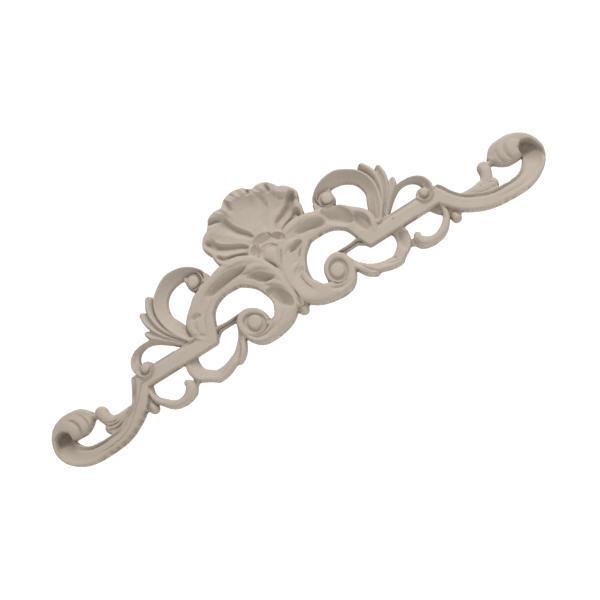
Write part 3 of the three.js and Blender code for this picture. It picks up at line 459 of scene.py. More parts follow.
SECTION_SLEEVE = [[-1, 0.56], [-0.85, 0.78], [-0.5, 0.93], [0, 1], [0.5, 1.02], [0.85, 1], [1, 0.96]]
SECTION_LOOP = [[-1, 0.8], [-0.85, 0.97], [-0.6, 1], [0, 0.88], [0.6, 0.74], [1, 0.62]]
SECTION_HOOK = [[-1, 0.66], [-0.8, 0.86], [-0.4, 0.98], [0.1, 1], [0.6, 0.95], [0.85, 0.84], [1, 0.6]]
SECTION_LOBE = [[-1, 0.84], [-0.75, 0.93], [-0.2, 1], [0.3, 0.98], [0.7, 0.9], [0.9, 0.78], [1, 0.64]]
SECTION_ROUND = [[-1, 0.58], [-0.85, 0.8], [-0.5, 0.96], [0, 1], [0.5, 0.96], [0.85, 0.8], [1, 0.58]]
SECTION_KEEL = [[-1, 0.6], [-0.7, 0.78], [-0.3, 0.94], [0, 1], [0.3, 0.94], [0.7, 0.78], [1, 0.6]]
SECTION_FLAT = [[-1, 0.86], [-0.8, 1], [0.8, 1], [1, 0.86]]


def cubic(low, high, low_slope, high_slope, reach, share):
    """Cubic from low to high with the given slopes, at a share of the reach between them."""
    square, cube = share ** 2, share ** 3
    return (low * (2 * cube - 3 * square + 1) + low_slope * reach * (cube - 2 * square + share)
            + high * (3 * square - 2 * cube) + high_slope * reach * (cube - square))


def smooth_line(stations, step=0.7):
    """Points along a smooth line through the stations: a cubic between each two, whose slope at
    a station is the mean of the slopes on both sides, weighted by the other side's length."""
    stations = np.asarray(stations, float)
    lengths = np.hypot(*(stations[1:, :2] - stations[:-1, :2]).T)
    rates = (stations[1:] - stations[:-1]) / lengths[:, None]
    slopes = np.empty_like(stations)
    slopes[0], slopes[-1] = rates[0], rates[-1]
    weight = (lengths[:-1] + lengths[1:])[:, None]
    slopes[1:-1] = (rates[:-1] * lengths[1:, None] + rates[1:] * lengths[:-1, None]) / weight
    parts = np.maximum(1, np.round(lengths / step)).astype(int)
    index = np.append(np.repeat(np.arange(len(lengths)), parts), len(lengths) - 1)
    share = np.append(np.concatenate([np.arange(n) / n for n in parts]), 1.0)[:, None]
    reach = lengths[index, None]
    return cubic(stations[index], stations[index + 1], slopes[index], slopes[index + 1], reach, share)


def smooth_table(value, table):
    """Value of a table between its pairs, on cubics that never overshoot: the slope at a pair is
    the harmonic mean of the slopes beside it, and 0 where they differ in sign."""
    knots, heights = np.asarray(table, float).T
    gaps = np.diff(knots)
    rates = np.diff(heights) / gaps
    slopes = np.zeros_like(heights)
    product = rates[:-1] * rates[1:]
    same = product > 0
    slopes[1:-1][same] = 2 * product[same] / (rates[:-1] + rates[1:])[same]
    value = np.clip(value, knots[0], knots[-1])
    index = np.clip(np.searchsorted(knots, value, side="right") - 1, 0, len(gaps) - 1)
    reach = gaps[index]
    share = (value - knots[index]) / reach
    return cubic(heights[index], heights[index + 1], slopes[index], slopes[index + 1], reach, share)


class Board:
    """Grid over the back: the height of the face and the distance inside the outline."""

    def __init__(self, low_x, high_x, low_z, high_z, cell):
        self.cell = cell
        self.x = np.arange(round(low_x / cell), round(high_x / cell) + 1) * cell
        self.z = np.arange(round(low_z / cell), round(high_z / cell) + 1) * cell
        self.height = np.zeros((len(self.z), len(self.x)))
        self.inside = np.full((len(self.z), len(self.x)), -20.0)

    def window(self, low_x, high_x, low_z, high_z):
        """Rows and columns of the grid that cover a box."""
        columns = np.clip(np.searchsorted(self.x, [low_x, high_x]), 0, len(self.x))
        rows = np.clip(np.searchsorted(self.z, [low_z, high_z]), 0, len(self.z))
        return slice(*rows), slice(*columns)

    def place_of(self, part):
        """Rows and columns that a smaller grid takes in this one."""
        row = round((part.z[0] - self.z[0]) / self.cell)
        column = round((part.x[0] - self.x[0]) / self.cell)
        return slice(row, row + len(part.z)), slice(column, column + len(part.x))

    def strip(self, line, spare=3.0):
        """Nearest place on a line for every grid point near it: window, station values there with
        the share of the way along as the last, and distance, positive to the left of travel."""
        reach = line[:, 2].max() + spare
        low, high = line[:, :2].min(0) - reach, line[:, :2].max(0) + reach
        window = self.window(low[0], high[0], low[1], high[1])
        x, z = self.x[window[1]], self.z[window[0]]
        shape = (len(z), len(x))
        best = np.full(shape, 1e9)
        side = np.ones(shape)
        value = np.zeros(shape + (line.shape[1] + 1,))
        travel = np.append(0, np.cumsum(np.hypot(*np.diff(line[:, :2], axis=0).T)))
        full = np.column_stack([line, travel / travel[-1]])
        for start, end in zip(full[:-1], full[1:]):
            way = end[:2] - start[:2]
            low = np.minimum(start[:2], end[:2]) - reach
            high = np.maximum(start[:2], end[:2]) + reach
            columns = slice(*np.searchsorted(x, [low[0], high[0]]))
            rows = slice(*np.searchsorted(z, [low[1], high[1]]))
            gap_x = x[columns][None, :] - start[0]
            gap_z = z[rows][:, None] - start[1]
            share = np.clip((gap_x * way[0] + gap_z * way[1]) / (way @ way), 0, 1)
            square = (gap_x - share * way[0]) ** 2 + (gap_z - share * way[1]) ** 2
            nearer = square < best[rows, columns]
            best[rows, columns][nearer] = square[nearer]
            turn = way[0] * gap_z - way[1] * gap_x
            side[rows, columns][nearer] = np.where(turn < 0, -1.0, 1.0)[nearer]
            value[rows, columns][nearer] = (start + share[..., None] * (end - start))[nearer]
        distance = np.sqrt(best) * side
        return window, value, distance

    def put(self, window, height, inside):
        """Adds a member: the face is the higher of the two, and the outline is both outlines."""
        shown = inside > 0
        face = self.height[window]
        face[shown] = np.maximum(face, height)[shown]
        outline = self.inside[window]
        np.maximum(outline, inside, out=outline)

    def member(self, stations, section, arris=1.2):
        """A section carried along a line, with half-round ends and its edges eased."""
        window, value, distance = self.strip(smooth_line(stations))
        half, crest = value[..., 2], value[..., 3]
        across = np.clip(distance / np.maximum(half, THIN), -1, 1)
        inside = half - np.abs(distance)
        share = smooth_table(across, section)
        self.put(window, crest * share - eased(inside, arris), inside)

    def cut(self, stations):
        """A gouge cut along a line, deepest on the line. Each station: x, z, half width, depth,
        and the cut stands up as a fold where its depth is below 0."""
        window, value, distance = self.strip(smooth_line(stations), 1.0)
        share = np.clip(1 - np.abs(distance) / np.maximum(value[..., 2], THIN), 0, 1) ** 1.5
        face = self.height[window]
        face -= value[..., 3] * share

    def pocket(self, stations, profile):
        """A hollow sunk to a floor along a line. Each station: x, z, half width, height of the
        floor. The profile gives the share of the way down from the edge (0) to the line (1)."""
        window, value, distance = self.strip(smooth_line(stations), 1.0)
        share = np.clip(1 - np.abs(distance) / np.maximum(value[..., 2], THIN), 0, 1)
        face = self.height[window]
        face -= np.maximum(face - value[..., 3], 0) * smooth_table(share, profile)

    def step(self, stations, side, profile):
        """A step or scoop beside a crest line: the profile gives the share of the depth from the
        crest (0) across the width (1). Side is 1 to the left of travel and -1 to the right."""
        window, value, distance = self.strip(smooth_line(stations), 1.0)
        across = distance * side / np.maximum(value[..., 2], THIN)
        edge = np.exp(-(distance / 1.6) ** 2) * (across < 0)
        face = self.height[window]
        face -= value[..., 3] * (smooth_table(across, profile) - 0.1 * edge)

    def spoon(self, x, z, wide, long, turn, depth):
        """An oval cut with a short steep wall on one side, from which its floor slopes on down
        before it rises to the other side. Turn is the way to that wall."""
        reach = max(wide, long) + 1
        window = self.window(x - reach, x + reach, z - reach, z + reach)
        gap_x = self.x[window[1]][None, :] - x
        gap_z = self.z[window[0]][:, None] - z
        way_x, way_z = math.cos(math.radians(turn)), math.sin(math.radians(turn))
        toward = (gap_x * way_x + gap_z * way_z) / wide
        beside = (gap_z * way_x - gap_x * way_z) / long
        edge = np.sqrt(np.clip(1 - beside ** 2, 0, 1))
        from_wall = np.clip((edge - toward) / np.maximum(2 * edge, THIN), 0, 1)
        face = self.height[window]
        face -= depth * smooth_table(from_wall, SPOON) * np.sqrt(edge)

    def disc(self, x, z, radius, height, section, arris=0.6):
        """A round boss or floor: its section runs from the middle (0) to the edge (1)."""
        reach = radius + 3
        window = self.window(x - reach, x + reach, z - reach, z + reach)
        away = np.hypot(self.x[window[1]][None, :] - x, self.z[window[0]][:, None] - z)
        inside = radius - away
        self.put(window, height * smooth_table(away / radius, section) - eased(inside, arris), inside)


def eased(inside, arris):
    """Drop of a rounded edge: a quarter circle that starts one arris inside the outline."""
    near = np.clip(1 - inside / arris, 0, 1)
    return arris * (1 - np.sqrt(1 - near ** 2))


def blurred(field, reach):
    """Field smoothed by a short bell curve along the rows and the columns."""
    half = int(math.ceil(reach * 3))
    bell = np.exp(-0.5 * (np.arange(-half, half + 1) / reach) ** 2)
    bell /= bell.sum()
    for axis in (0, 1):
        padded = np.pad(field, [(half, half) if a == axis else (0, 0) for a in (0, 1)], mode="edge")
        field = sum(weight * np.take(padded, np.arange(k, k + field.shape[axis]), axis=axis)
                    for k, weight in enumerate(bell))
    return field


def stem_share(across, kind):
    """Section of the stem, blended between the two kinds beside it: volute at kind -1, scroll
    at 0, bar at 1, arm at 2 and mouth at 3."""
    sections = (SECTION_VOLUTE, SECTION_SCROLL, SECTION_BAR, SECTION_ARM, SECTION_MOUTH)
    return sum(smooth_table(across, section) * np.clip(1 - np.abs(kind - place), 0, 1)
               for place, section in enumerate(sections, -1))


def placed(stations, hand):
    """Stations of one hand: the left half's are moved by the mean of the shifts near them, each
    weighted by 1 over the square of its squared distance plus the squared reach."""
    stations = np.array(stations, float)
    if hand == "left":
        x, z, shift_x, shift_z = np.array(HAND_SHIFTS, float).T
        square = (stations[:, :1] - x) ** 2 + (stations[:, 1:2] - z) ** 2
        weight = 1 / (square + SHIFT_REACH ** 2) ** 2
        weight /= weight.sum(1, keepdims=True)
        stations[:, 0] += weight @ shift_x
        stations[:, 1] += weight @ shift_z
    return stations


def mitre_side(x, z, mitre):
    """Signed distance from a mitre line, positive to its right."""
    foot, top = mitre
    way = (top - foot) / np.hypot(*(top - foot))
    return (x - foot[0]) * way[1] - (z - foot[1]) * way[0]


def carve_stem(board, hand):
    """The scroll, the bar and the arm, cut off square at the two mitre lines."""
    left_mitre, right_mitre = placed(MITRE_LEFT, hand), placed(MITRE_RIGHT, hand)
    arm = np.vstack([[*right_mitre.mean(0) + [0, 1], 9.2, 12.6, 2], placed(STEM_ARM, hand)])
    for stations, keep in ((placed(STEM_SCROLL, hand), "left"), (arm, "right")):
        window, value, distance = board.strip(smooth_line(stations))
        x, z = board.x[window[1]][None, :], board.z[window[0]][:, None]
        half = value[..., 2]
        across = np.clip(distance / np.maximum(half, THIN), -1, 1)
        inside = half - np.abs(distance)
        arris = np.where(distance > 0, 0.7, 1.3)
        height = value[..., 3] * stem_share(across, value[..., 4]) - eased(inside, arris)
        if keep == "left":
            near = value[..., 5] > MITRE_PART[keep]
            cut_off = np.minimum(MITRE_LAP - mitre_side(x, z, left_mitre), z - left_mitre[0, 1])
        else:
            near = value[..., 5] < MITRE_PART[keep]
            cut_off = mitre_side(x, z, right_mitre) + MITRE_LAP
        board.put(window, height, np.where(near, np.minimum(inside, cut_off), inside))
    window = board.window(85, 188, -1, 25)
    x, z = board.x[window[1]][None, :], board.z[window[0]][:, None]
    along = np.clip((x - left_mitre[1, 0]) / (right_mitre[1, 0] - left_mitre[1, 0]), 0, 1)
    low, high = (left_mitre[end, 1] + along * (right_mitre[end, 1] - left_mitre[end, 1]) for end in (0, 1))
    half = (high - low) / 2
    distance = z - (low + high) / 2
    inside = half - np.abs(distance)
    ends = np.minimum(mitre_side(x, z, left_mitre), -mitre_side(x, z, right_mitre)) + MITRE_LAP
    across = np.clip(distance / half, -1, 1)
    fall = eased(inside, 0.5)
    board.put(window, BAR_HEIGHT * smooth_table(across, SECTION_BAR) - fall, np.minimum(inside, ends))


def carve_half(board, hand):
    """One half, drawn as the right one, from the low members up to the ones that lie over them."""

    def member(stations, section):
        board.member(placed(stations, hand), section)

    member(WEB, SECTION_FLAT)
    for stations in GROUNDS:
        member(stations, SECTION_FLAT)
    if hand == "right":
        member(RIGHT_CORNER, SECTION_FLAT)
    for x, z, radius, height in placed(HOLLOWS, hand):
        board.disc(x, z, radius, height, DISC)
    member(BUD, SECTION_KEEL)
    member(VOLUTE_ROOT, SECTION_ROUND)
    carve_stem(board, hand)
    member(TENDRIL, SECTION_TENDRIL)
    member(NECK, SECTION_KEEL)
    member(LEAF_LOOP, SECTION_LOOP)
    member(HOOK, SECTION_HOOK)
    for stations in (BRACT_ROOT, BRACT_TIP):
        member(stations, SECTION_ROUND)
    member(SMALL_SCROLL, SECTION_SMALL)
    member(END_RIM, [[-q, share] for q, share in reversed(SECTION_RIM)])
    member(END_SLEEVE, SECTION_SLEEVE)
    board.pocket(placed(MOUTH, hand), THROAT)
    for stations in SLEEVE_STEPS:
        board.step(placed(stations, hand), -1, DROP)
    member(UPPER_SCROLL, SECTION_HOLLOW)
    for stations in FINGERS:
        member(stations, SECTION_FINGER)
    for stations in LEAF_TIPS:
        member(stations, SECTION_KEEL)
    for stations in SCROLL_LOBES:
        member(stations, SECTION_LOBE)
    for stations in HAND_SCOOPS[hand]:
        board.step(stations, -1, SCOOP)
    for spoon in HAND_SPOONS[hand]:
        board.spoon(*spoon)
    for stations in SOCKETS:
        board.pocket(placed(stations, hand), SOCKET)
    for stations in (EYE_RING, UPPER_RING, SMALL_RING):
        member(stations, SECTION_KEEL)
    for stations in KNIFE_LINES:
        board.cut(placed(stations, hand))
    for stations in HAND_KNIFE_LINES[hand]:
        board.cut(stations)
    for x, z, radius, height in placed(BOSSES, hand):
        board.disc(x, z, radius, height, DOME)


def carve_shell(board):
    """The fan: a dish about the hinge that turns up into a lip along the scalloped edge, cut by
    the steps between its flutes, the pockets under the lip and the folds across it."""
    shell = Board(*FAN_BOX, board.cell)
    x, z = shell.x[None, :] - HINGE[0], shell.z[:, None] - HINGE[1]
    radius = np.hypot(x, z)
    angle = np.degrees(np.arctan2(np.abs(x), z))
    edge = smooth_table(angle, FAN_EDGE)
    share = np.clip(radius / edge, 0, 1)
    inside = np.where(angle < FAN_SIDE, edge - radius, -5.0)
    shell.put((slice(None), slice(None)), FAN_LEVEL + smooth_table(share, LIP_RISE), inside)
    turn = np.degrees(np.arctan2(x, z))
    scratch = np.sin(turn * 2.9) + 0.8 * np.sin(turn * 4.7 + 1) + 0.5 * np.sin(turn * 7.3 + 2)
    shell.height += 0.09 * scratch * np.clip((share - 0.25) * 5, 0, 1) * np.clip((0.85 - share) * 6, 0, 1)
    for stations in LEFT_STEPS:
        shell.step(stations, 1, DROP)
    for stations in RIGHT_STEPS:
        shell.step(stations, -1, DROP)
    for stations in LIP_POCKETS:
        shell.pocket(stations, POCKET)
    for stations in LIP_FOLDS:
        shell.cut(stations)
    for start, end, half, depth in GOUGE_MARKS:
        middle = [(a + b) / 2 for a, b in zip(start, end)]
        taper = [half * 0.6, 0]
        shell.cut([start + taper, middle + [half, depth], end + taper])
    board.put(board.place_of(shell), shell.height - eased(inside, 1.2), inside)


def carve_centre(board):
    """The collar, the rib and the cabochon over the mirror line, and the bud below it."""
    board.member(MIDDLE_GROUND, SECTION_FLAT)
    board.member(BOTTOM_BUD, SECTION_KEEL)
    for stations in MIDDLE_CREASES:
        board.cut(stations)
    for x, z, radius, height in COLLAR_LOBES:
        board.disc(x, z, radius, height, LOBE_TOP)
    for spoon in COLLAR_SPOONS:
        board.spoon(*spoon)
    x, z, radius, half, height = RIB
    turn = np.radians(np.linspace(-12, 192, 12))
    ring = np.column_stack([x + radius * np.cos(turn), z + radius * np.sin(turn)])
    board.member(np.column_stack([ring, np.tile([half, height], (len(turn), 1))]), SECTION_KEEL)
    board.member(CABOCHON, SECTION_ROUND)


def carved_board(cell):
    """The whole relief: both halves, the left one mirrored, then the shell and the centre."""
    board = Board(-HALF_LENGTH, HALF_LENGTH, BOTTOM, TOP, cell)
    middle = len(board.x) // 2
    for hand in ("right", "left"):
        half = Board(-OVERLAP, HALF_LENGTH, BOTTOM, TOP, cell)
        carve_half(half, hand)
        turned = slice(None, None, 1 if hand == "right" else -1)
        start = middle - round(OVERLAP / cell) if hand == "right" else 0
        place = slice(start, start + len(half.x))
        board.height[:, place] = np.maximum(board.height[:, place], half.height[:, turned])
        board.inside[:, place] = np.maximum(board.inside[:, place], half.inside[:, turned])
    carve_shell(board)
    carve_centre(board)
    return board


def outlined(board):
    """Triangles of the face inside the outline, cut where they cross it.

    Each grid square is two triangles. A triangle with one or two corners outside is cut at
    the places where the distance to the outline, taken as linear along a side, is 0."""
    inside = board.inside
    rows, columns = inside.shape
    number = np.arange(rows * columns).reshape(rows, columns)
    a, b, c, d = number[:-1, :-1], number[:-1, 1:], number[1:, 1:], number[1:, :-1]
    odd = (np.add.outer(np.arange(rows - 1), np.arange(columns - 1)) % 2).astype(bool)
    first = np.where(odd[..., None], np.stack([a, b, c], -1), np.stack([a, b, d], -1)).reshape(-1, 3)
    second = np.where(odd[..., None], np.stack([a, c, d], -1), np.stack([b, c, d], -1)).reshape(-1, 3)
    faces = np.concatenate([first, second])
    field = inside.ravel()
    field = np.where(np.abs(field) < SNAP * board.cell, SNAP * board.cell, field)
    within = field[faces] > 0
    count = within.sum(1)
    pieces = [faces[count == 3]]

    def turned(rows_of, single):
        """The triangles with their single corner first, in the same order round."""
        start = np.argmax(single, 1)
        order = (start[:, None] + np.arange(3)) % 3
        return np.take_along_axis(rows_of, order, 1)

    one = turned(faces[count == 1], within[count == 1])
    two = turned(faces[count == 2], ~within[count == 2])
    pairs = np.concatenate([one[:, [0, 1]], one[:, [0, 2]], two[:, [0, 1]], two[:, [0, 2]]])
    low_high = np.sort(pairs, 1)
    keys, place = np.unique(low_high[:, 0] * (rows * columns) + low_high[:, 1], return_inverse=True)
    place = place.ravel() + rows * columns
    ends = np.column_stack([keys // (rows * columns), keys % (rows * columns)])
    weight = field[ends[:, 0]] / (field[ends[:, 0]] - field[ends[:, 1]])
    one_a, one_b, two_a, two_b = np.split(place, np.cumsum([len(one), len(one), len(two)]))
    pieces.append(np.column_stack([one[:, 0], one_a, one_b]))
    pieces.append(np.column_stack([two_a, two[:, 1], two[:, 2]]))
    pieces.append(np.column_stack([two_a, two[:, 2], two_b]))
    faces = np.concatenate(pieces)
    x = np.tile(board.x, rows)
    z = np.repeat(board.z, columns)

    def mixed(values):
        """Values at the grid points, followed by those at the crossings."""
        flat = values.ravel() if values.ndim > 1 else values
        return np.append(flat, flat[ends[:, 0]] * (1 - weight) + flat[ends[:, 1]] * weight)

    used, faces = np.unique(faces, return_inverse=True)
    faces = faces.reshape(-1, 3)
    return used, faces, mixed, mixed(x)[used], mixed(z)[used]


def edge_loop_pairs(faces):
    """Directed sides that only one triangle has, which run round the outline."""
    sides = np.concatenate([faces[:, [0, 1]], faces[:, [1, 2]], faces[:, [2, 0]]])
    size = sides.max() + 1
    key = sides[:, 0] * size + sides[:, 1]
    return sides[~np.isin(key, sides[:, 1] * size + sides[:, 0])]


def closed_carving(board):
    """Corners and triangles of the closed carving: face, upright walls and flat back.

    The walls go down in two bands. Below the first one the outline is evened out: each
    point is moved half way to the middle of its two neighbours, many times over. Also gives
    the three rings of corners that bound the bands, and what outlined says of the face."""
    used, faces, mixed, x, z = outlined(board)
    height = np.maximum(mixed(board.height)[used], LEAST_HEIGHT)
    rim = edge_loop_pairs(faces)
    count = len(x)
    rim_points, rim_index = np.unique(rim, return_inverse=True)
    rim_index = rim_index.reshape(-1, 2)
    spread = len(rim_points)
    after, before = np.zeros(spread, int), np.zeros(spread, int)
    after[rim_index[:, 0]] = rim_index[:, 1]
    before[rim_index[:, 1]] = rim_index[:, 0]
    even = np.column_stack([x[rim_points], z[rim_points]])
    for _ in range(EVENINGS):
        even = even / 2 + (even[after] + even[before]) / 4
    rings = [rim_points, count + np.arange(spread), count + spread + np.arange(spread)]
    depths = [height, height[rim_points] - FIRST_BAND, np.zeros(spread)]
    corners = np.column_stack([np.concatenate([x] + [even[:, 0]] * 2), -np.concatenate(depths),
                               np.concatenate([z] + [even[:, 1]] * 2)])
    walls = []
    start, end = rim_index.T
    for upper, lower in zip(rings[:-1], rings[1:]):
        walls.append(np.column_stack([upper[end], upper[start], lower[start]]))
        walls.append(np.column_stack([upper[end], lower[start], lower[end]]))
    flat = [Vector(point) for point in even]
    made = delaunay_2d_cdt(flat, rim_index.tolist(), [], 0, 1e-7)
    under = np.array(made[2])
    middle = np.array([list(v) for v in made[0]])[under].mean(1)
    fine_x = (middle[:, 0] - board.x[0]) / board.cell
    fine_z = (middle[:, 1] - board.z[0]) / board.cell
    column = np.clip(np.floor(fine_x).astype(int), 0, len(board.x) - 2)
    row = np.clip(np.floor(fine_z).astype(int), 0, len(board.z) - 2)
    u, v = fine_x - column, fine_z - row
    field = board.inside
    there = (field[row, column] * (1 - u) * (1 - v) + field[row, column + 1] * u * (1 - v)
             + field[row + 1, column] * (1 - u) * v + field[row + 1, column + 1] * u * v)
    under = rings[-1][under[there > 0]]
    return corners, np.concatenate([faces, *walls, under]), rings, used, mixed


def mesh_piece(name, corners, faces):
    """A mesh object at the origin from corners in millimetres and triangles."""
    mesh = bpy.data.meshes.new(name)
    mesh.vertices.add(len(corners))
    mesh.vertices.foreach_set("co", (corners * MM).astype(np.float32).ravel())
    mesh.loops.add(faces.size)
    mesh.loops.foreach_set("vertex_index", faces.astype(np.int32).ravel())
    mesh.polygons.add(len(faces))
    mesh.polygons.foreach_set("loop_start", np.arange(0, faces.size, 3, dtype=np.int32))
    mesh.polygons.foreach_set("use_smooth", np.ones(len(faces), bool))
    mesh.update(calc_edges=True)
    mesh.validate()
    piece = bpy.data.objects.new(name, mesh)
    bpy.context.scene.collection.objects.link(piece)
    return piece


def crisp_edges(mesh, rings):
    """Marks as crisp the edges that turn sharply and the rings at both ends of the first band."""
    mesh.set_sharp_from_angle(angle=CREASE_ANGLE)
    sides = np.empty(2 * len(mesh.edges), np.int32)
    mesh.edges.foreach_get("vertices", sides)
    sharp = np.empty(len(mesh.edges), bool)
    layer = mesh.attributes["sharp_edge"]
    layer.data.foreach_get("value", sharp)
    for ring in rings[:2]:
        sharp |= np.isin(sides.reshape(-1, 2), ring).all(1)
    layer.data.foreach_set("value", sharp)


def pressed(height, thickness):
    """Heights kept within a thickness: their last part is pressed together evenly."""
    shoulder = thickness - SHOULDER
    squeeze = SHOULDER / (height.max() - shoulder)
    return np.minimum(height, shoulder + (height - shoulder) * squeeze)


def painted_shade(board, corners, used, mixed, back):
    """Painted shade at each corner, from 0 to 1: by its depth below the face round about,
    in low places, toward the left end and in the shade spots. The back stays pale."""
    broad = blurred(board.height, BROAD_REACH / board.cell)
    # Painted shade in recesses, by the depth below the blurred face, and in low places
    deep = np.clip((broad - board.height) / DARK_DEPTH, 0, 1)
    low = LOW_SHARE * np.clip(1 - board.height / LOW_HEIGHT, 0, 1)
    values = np.zeros(len(corners))
    values[:len(used)] = mixed(deep + low)[used]
    x, z = corners[:, 0], corners[:, 2]
    # Painted shade that grows toward the left end, where the light falls off
    values += END_SHARE * np.clip((-x - END_START) / END_REACH, 0, 1)
    # Spots of painted shade
    for place_x, place_z, radius, strength in SHADE_SPOTS:
        values += strength * np.exp(-((x - place_x) ** 2 + (z - place_z) ** 2) / radius ** 2)
    values[back] = 0
    return np.clip(values, 0, 1)


class Carving(bpy.types.PropertyGroup):
    cell: bpy.props.FloatProperty(
        name="Cell", description="Distance between two points of the carved face", default=0.00075,
        min=0.0003, subtype="DISTANCE", unit="LENGTH")
    softness: bpy.props.FloatProperty(
        name="Softness", description="How far sanding has softened the cuts", default=0.00032,
        min=0.0, subtype="DISTANCE", unit="LENGTH")


class WoodAndShade(bpy.types.PropertyGroup):
    wood: bpy.props.FloatVectorProperty(
        name="Wood", description="Colour of the bare wood", subtype="COLOR", size=3,
        default=(0.42, 0.359, 0.296))
    # Hollows: the colour of the painted shade mixed into the cuts, low places and shade spots
    hollow: bpy.props.FloatVectorProperty(
        name="Hollows", description="Colour of the wood deep in the cuts", subtype="COLOR", size=3,
        default=(0.2, 0.152, 0.108))


class Studio(bpy.types.PropertyGroup):
    distance: bpy.props.FloatProperty(
        name="Distance", description="From the camera to the carving", default=1.0,
        subtype="DISTANCE", unit="LENGTH")
    rise: bpy.props.FloatProperty(
        name="Tilt", description="How far below the carving the camera stands", default=math.radians(-13.0),
        subtype="ANGLE", unit="ROTATION")
    roll: bpy.props.FloatProperty(
        name="Roll", description="How far the carving's length climbs across the picture",
        default=math.radians(32.51), subtype="ANGLE", unit="ROTATION")
    lens: bpy.props.FloatProperty(
        name="Lens", description="Focal length on a 36 mm wide sensor", default=60.0,
        subtype="DISTANCE_CAMERA")
    key_power: bpy.props.FloatProperty(
        name="Key light", description="Power of the big soft light above the right end", default=32.4,
        subtype="POWER", unit="POWER")
    fill_power: bpy.props.FloatProperty(
        name="Fill light", description="Power of the weak light from below the carving", default=0.5,
        subtype="POWER", unit="POWER")


def pale_wood(finish):
    """Bare pale wood: a faint long grain, fine specks, and painted shade in the cuts and low places, mixed in
    by the hollow attribute.
    """
    material = bpy.data.materials.new("pale_wood")
    material.use_nodes = True
    nodes, links = material.node_tree.nodes, material.node_tree.links
    shader = nodes["Principled BSDF"]
    shader.inputs["Roughness"].default_value = 0.82
    place = nodes.new("ShaderNodeTexCoord")
    stretch = nodes.new("ShaderNodeMapping")
    stretch.inputs["Scale"].default_value = (14, 120, 120)
    links.new(place.outputs["Object"], stretch.inputs["Vector"])
    grain = nodes.new("ShaderNodeTexNoise")
    grain.inputs["Scale"].default_value = 3.0
    grain.inputs["Detail"].default_value = 6.0
    links.new(stretch.outputs["Vector"], grain.inputs["Vector"])
    specks = nodes.new("ShaderNodeTexNoise")
    specks.inputs["Scale"].default_value = 900.0
    specks.inputs["Detail"].default_value = 3.0
    links.new(place.outputs["Object"], specks.inputs["Vector"])
    tone = nodes.new("ShaderNodeMix")
    tone.data_type = "RGBA"
    wood = np.array(finish.wood)
    tone.inputs["A"].default_value = (*(wood * 0.9), 1)
    tone.inputs["B"].default_value = (*np.minimum(wood * 1.08, 1), 1)
    links.new(grain.outputs["Fac"], tone.inputs["Factor"])
    depth = nodes.new("ShaderNodeAttribute")
    depth.attribute_name = "hollow"
    # Mixes the painted shade colour into the wood by the hollow attribute
    shade_mix = nodes.new("ShaderNodeMix")
    shade_mix.data_type = "RGBA"
    shade_mix.inputs["B"].default_value = (*finish.hollow, 1)
    links.new(depth.outputs["Fac"], shade_mix.inputs["Factor"])
    links.new(tone.outputs["Result"], shade_mix.inputs["A"])
    links.new(shade_mix.outputs["Result"], shader.inputs["Base Color"])
    bump = nodes.new("ShaderNodeBump")
    bump.inputs["Strength"].default_value = 0.25
    bump.inputs["Distance"].default_value = 0.0004
    links.new(specks.outputs["Fac"], bump.inputs["Height"])
    links.new(bump.outputs["Normal"], shader.inputs["Normal"])
    return material


def soft_lamp(name, size, power, toward, distance):
    """A round soft light at a distance from the aim, which it faces."""
    light = bpy.data.lights.new(name, "AREA")
    light.shape = "DISK"
    light.size = size
    light.energy = power
    lamp = bpy.data.objects.new(name, light)
    toward = Vector(toward).normalized()
    lamp.location = AIM + toward * distance
    lamp.rotation_euler = toward.to_track_quat("Z", "Y").to_euler()
    bpy.context.scene.collection.objects.link(lamp)


def white_room():
    """A white world, weaker in front of the carving than behind it."""
    world = bpy.data.worlds.new("studio_white")
    world.use_nodes = True
    nodes, links = world.node_tree.nodes, world.node_tree.links
    background = nodes["Background"]
    sky = nodes.new("ShaderNodeTexCoord")
    split = nodes.new("ShaderNodeSeparateXYZ")
    span = nodes.new("ShaderNodeMapRange")
    span.inputs["From Min"].default_value = -0.2
    span.inputs["From Max"].default_value = 0.5
    span.inputs["To Min"].default_value = 0.6
    span.inputs["To Max"].default_value = 1.15
    links.new(sky.outputs["Generated"], split.inputs["Vector"])
    links.new(split.outputs["Y"], span.inputs["Value"])
    links.new(span.outputs["Result"], background.inputs["Strength"])
    background.inputs["Color"].default_value = (1, 1, 1, 1)
    return world


class MOULDING_OT_carving(bpy.types.Operator):
    """Builds the carved relief as one closed mesh"""
    bl_idname = "moulding.carving"
    bl_label = "Carve the moulding"

    def execute(self, context):
        carving = context.scene.moulding_carving
        board = carved_board(carving.cell / MM)
        softness = carving.softness / carving.cell
        if softness > 0:
            board.height = blurred(board.height, softness)
        low, high = (np.array(corner) / MM for corner in CAD_BOUNDS)
        board.height = pressed(board.height, -low[1])
        corners, faces, rings, used, mixed = closed_carving(board)
        corners = np.clip(corners, low, high)
        piece = mesh_piece("carved_relief", corners, faces)
        crisp_edges(piece.data, rings)
        # The hollow attribute holds the painted shade of each corner
        layer = piece.data.attributes.new("hollow", "FLOAT", "POINT")
        values = painted_shade(board, corners, used, mixed, rings[-1])
        layer.data.foreach_set("value", values.astype(np.float32))
        piece.data.materials.append(pale_wood(context.scene.moulding_finish))
        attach(piece, "root")
        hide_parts("carved_crest")
        print("carved_relief triangles", len(faces))
        return {"FINISHED"}


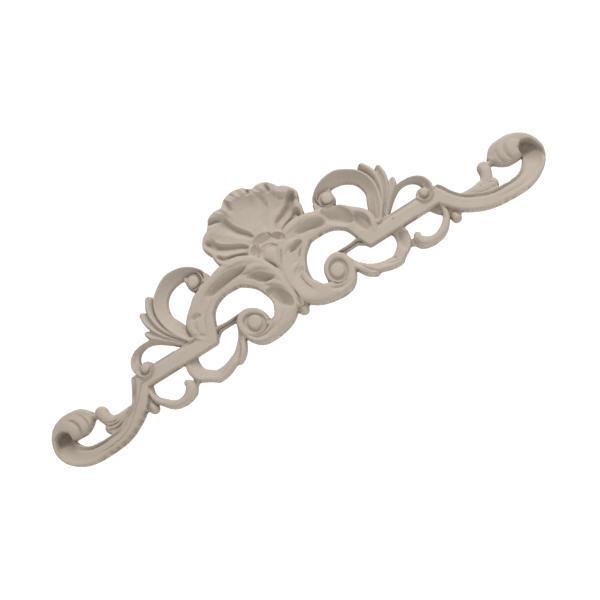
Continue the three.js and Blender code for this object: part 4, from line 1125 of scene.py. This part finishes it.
class MOULDING_OT_studio(bpy.types.Operator):
    """Sets the floor, the lights and the camera"""
    bl_idname = "moulding.studio"
    bl_label = "Set up the studio"

    def execute(self, context):
        scene = context.scene
        studio = scene.moulding_studio
        ground = [[-FLOOR_HALF, -FLOOR_HALF, FLOOR_LEVEL], [FLOOR_HALF, -FLOOR_HALF, FLOOR_LEVEL],
                  [FLOOR_HALF, FLOOR_HALF, FLOOR_LEVEL], [-FLOOR_HALF, FLOOR_HALF, FLOOR_LEVEL]]
        floor = mesh_piece("floor", np.array(ground) / MM, np.array([[0, 1, 2], [0, 2, 3]]))
        material = bpy.data.materials.new("floor_white")
        material.use_nodes = True
        material.node_tree.nodes["Principled BSDF"].inputs["Base Color"].default_value = (0.95, 0.95, 0.95, 1)
        floor.data.materials.append(material)
        scene.world = white_room()
        soft_lamp("key", 0.9, studio.key_power, (0.42, -0.52, 0.74), 2.0)
        soft_lamp("fill", 0.7, studio.fill_power, (0.05, -0.6, -0.8), 0.9)

        camera = bpy.data.cameras.new("camera")
        camera.lens = studio.lens
        camera.sensor_width = 36.0
        camera.clip_start = 0.05
        eye = bpy.data.objects.new("camera", camera)
        rise, turn = studio.rise, CAMERA_TURN
        back = Vector((math.sin(turn) * math.cos(rise), -math.cos(turn) * math.cos(rise), math.sin(rise)))
        side = (-back).cross(Vector((0, 0, 1))).normalized()
        up = side.cross(-back)
        roll = studio.roll
        right = side * math.cos(roll) - up * math.sin(roll)
        above = side * math.sin(roll) + up * math.cos(roll)
        axes = Matrix((right, above, back)).transposed().to_4x4()
        axes.translation = AIM + back * studio.distance
        eye.matrix_world = axes
        scene.collection.objects.link(eye)
        scene.camera = eye
        scene.view_settings.view_transform = "Standard"
        scene.view_settings.look = "None"
        return {"FINISHED"}


class MOULDING_PT_panel(bpy.types.Panel):
    """Sizes, colours and steps of the moulding"""
    bl_idname = "MOULDING_PT_panel"
    bl_label = "Carved moulding"
    bl_space_type = "VIEW_3D"
    bl_region_type = "UI"
    bl_category = "Moulding"

    def draw(self, context):
        layout = self.layout
        scene = context.scene
        for group in (scene.moulding_carving, scene.moulding_finish, scene.moulding_studio):
            for name in group.__annotations__:
                layout.prop(group, name)
        for operator in (MOULDING_OT_carving, MOULDING_OT_studio):
            layout.operator(operator.bl_idname)


CLASSES = (Carving, WoodAndShade, Studio, MOULDING_OT_carving, MOULDING_OT_studio, MOULDING_PT_panel)


def register():
    for cls in CLASSES:
        bpy.utils.register_class(cls)
    bpy.types.Scene.moulding_carving = bpy.props.PointerProperty(type=Carving)
    bpy.types.Scene.moulding_finish = bpy.props.PointerProperty(type=WoodAndShade)
    bpy.types.Scene.moulding_studio = bpy.props.PointerProperty(type=Studio)


def unregister():
    for name in ("moulding_carving", "moulding_finish", "moulding_studio"):
        delattr(bpy.types.Scene, name)
    for cls in reversed(CLASSES):
        bpy.utils.unregister_class(cls)


def main():
    register()
    bpy.ops.moulding.carving()
    bpy.ops.moulding.studio()


if __name__ == "__main__":
    main()
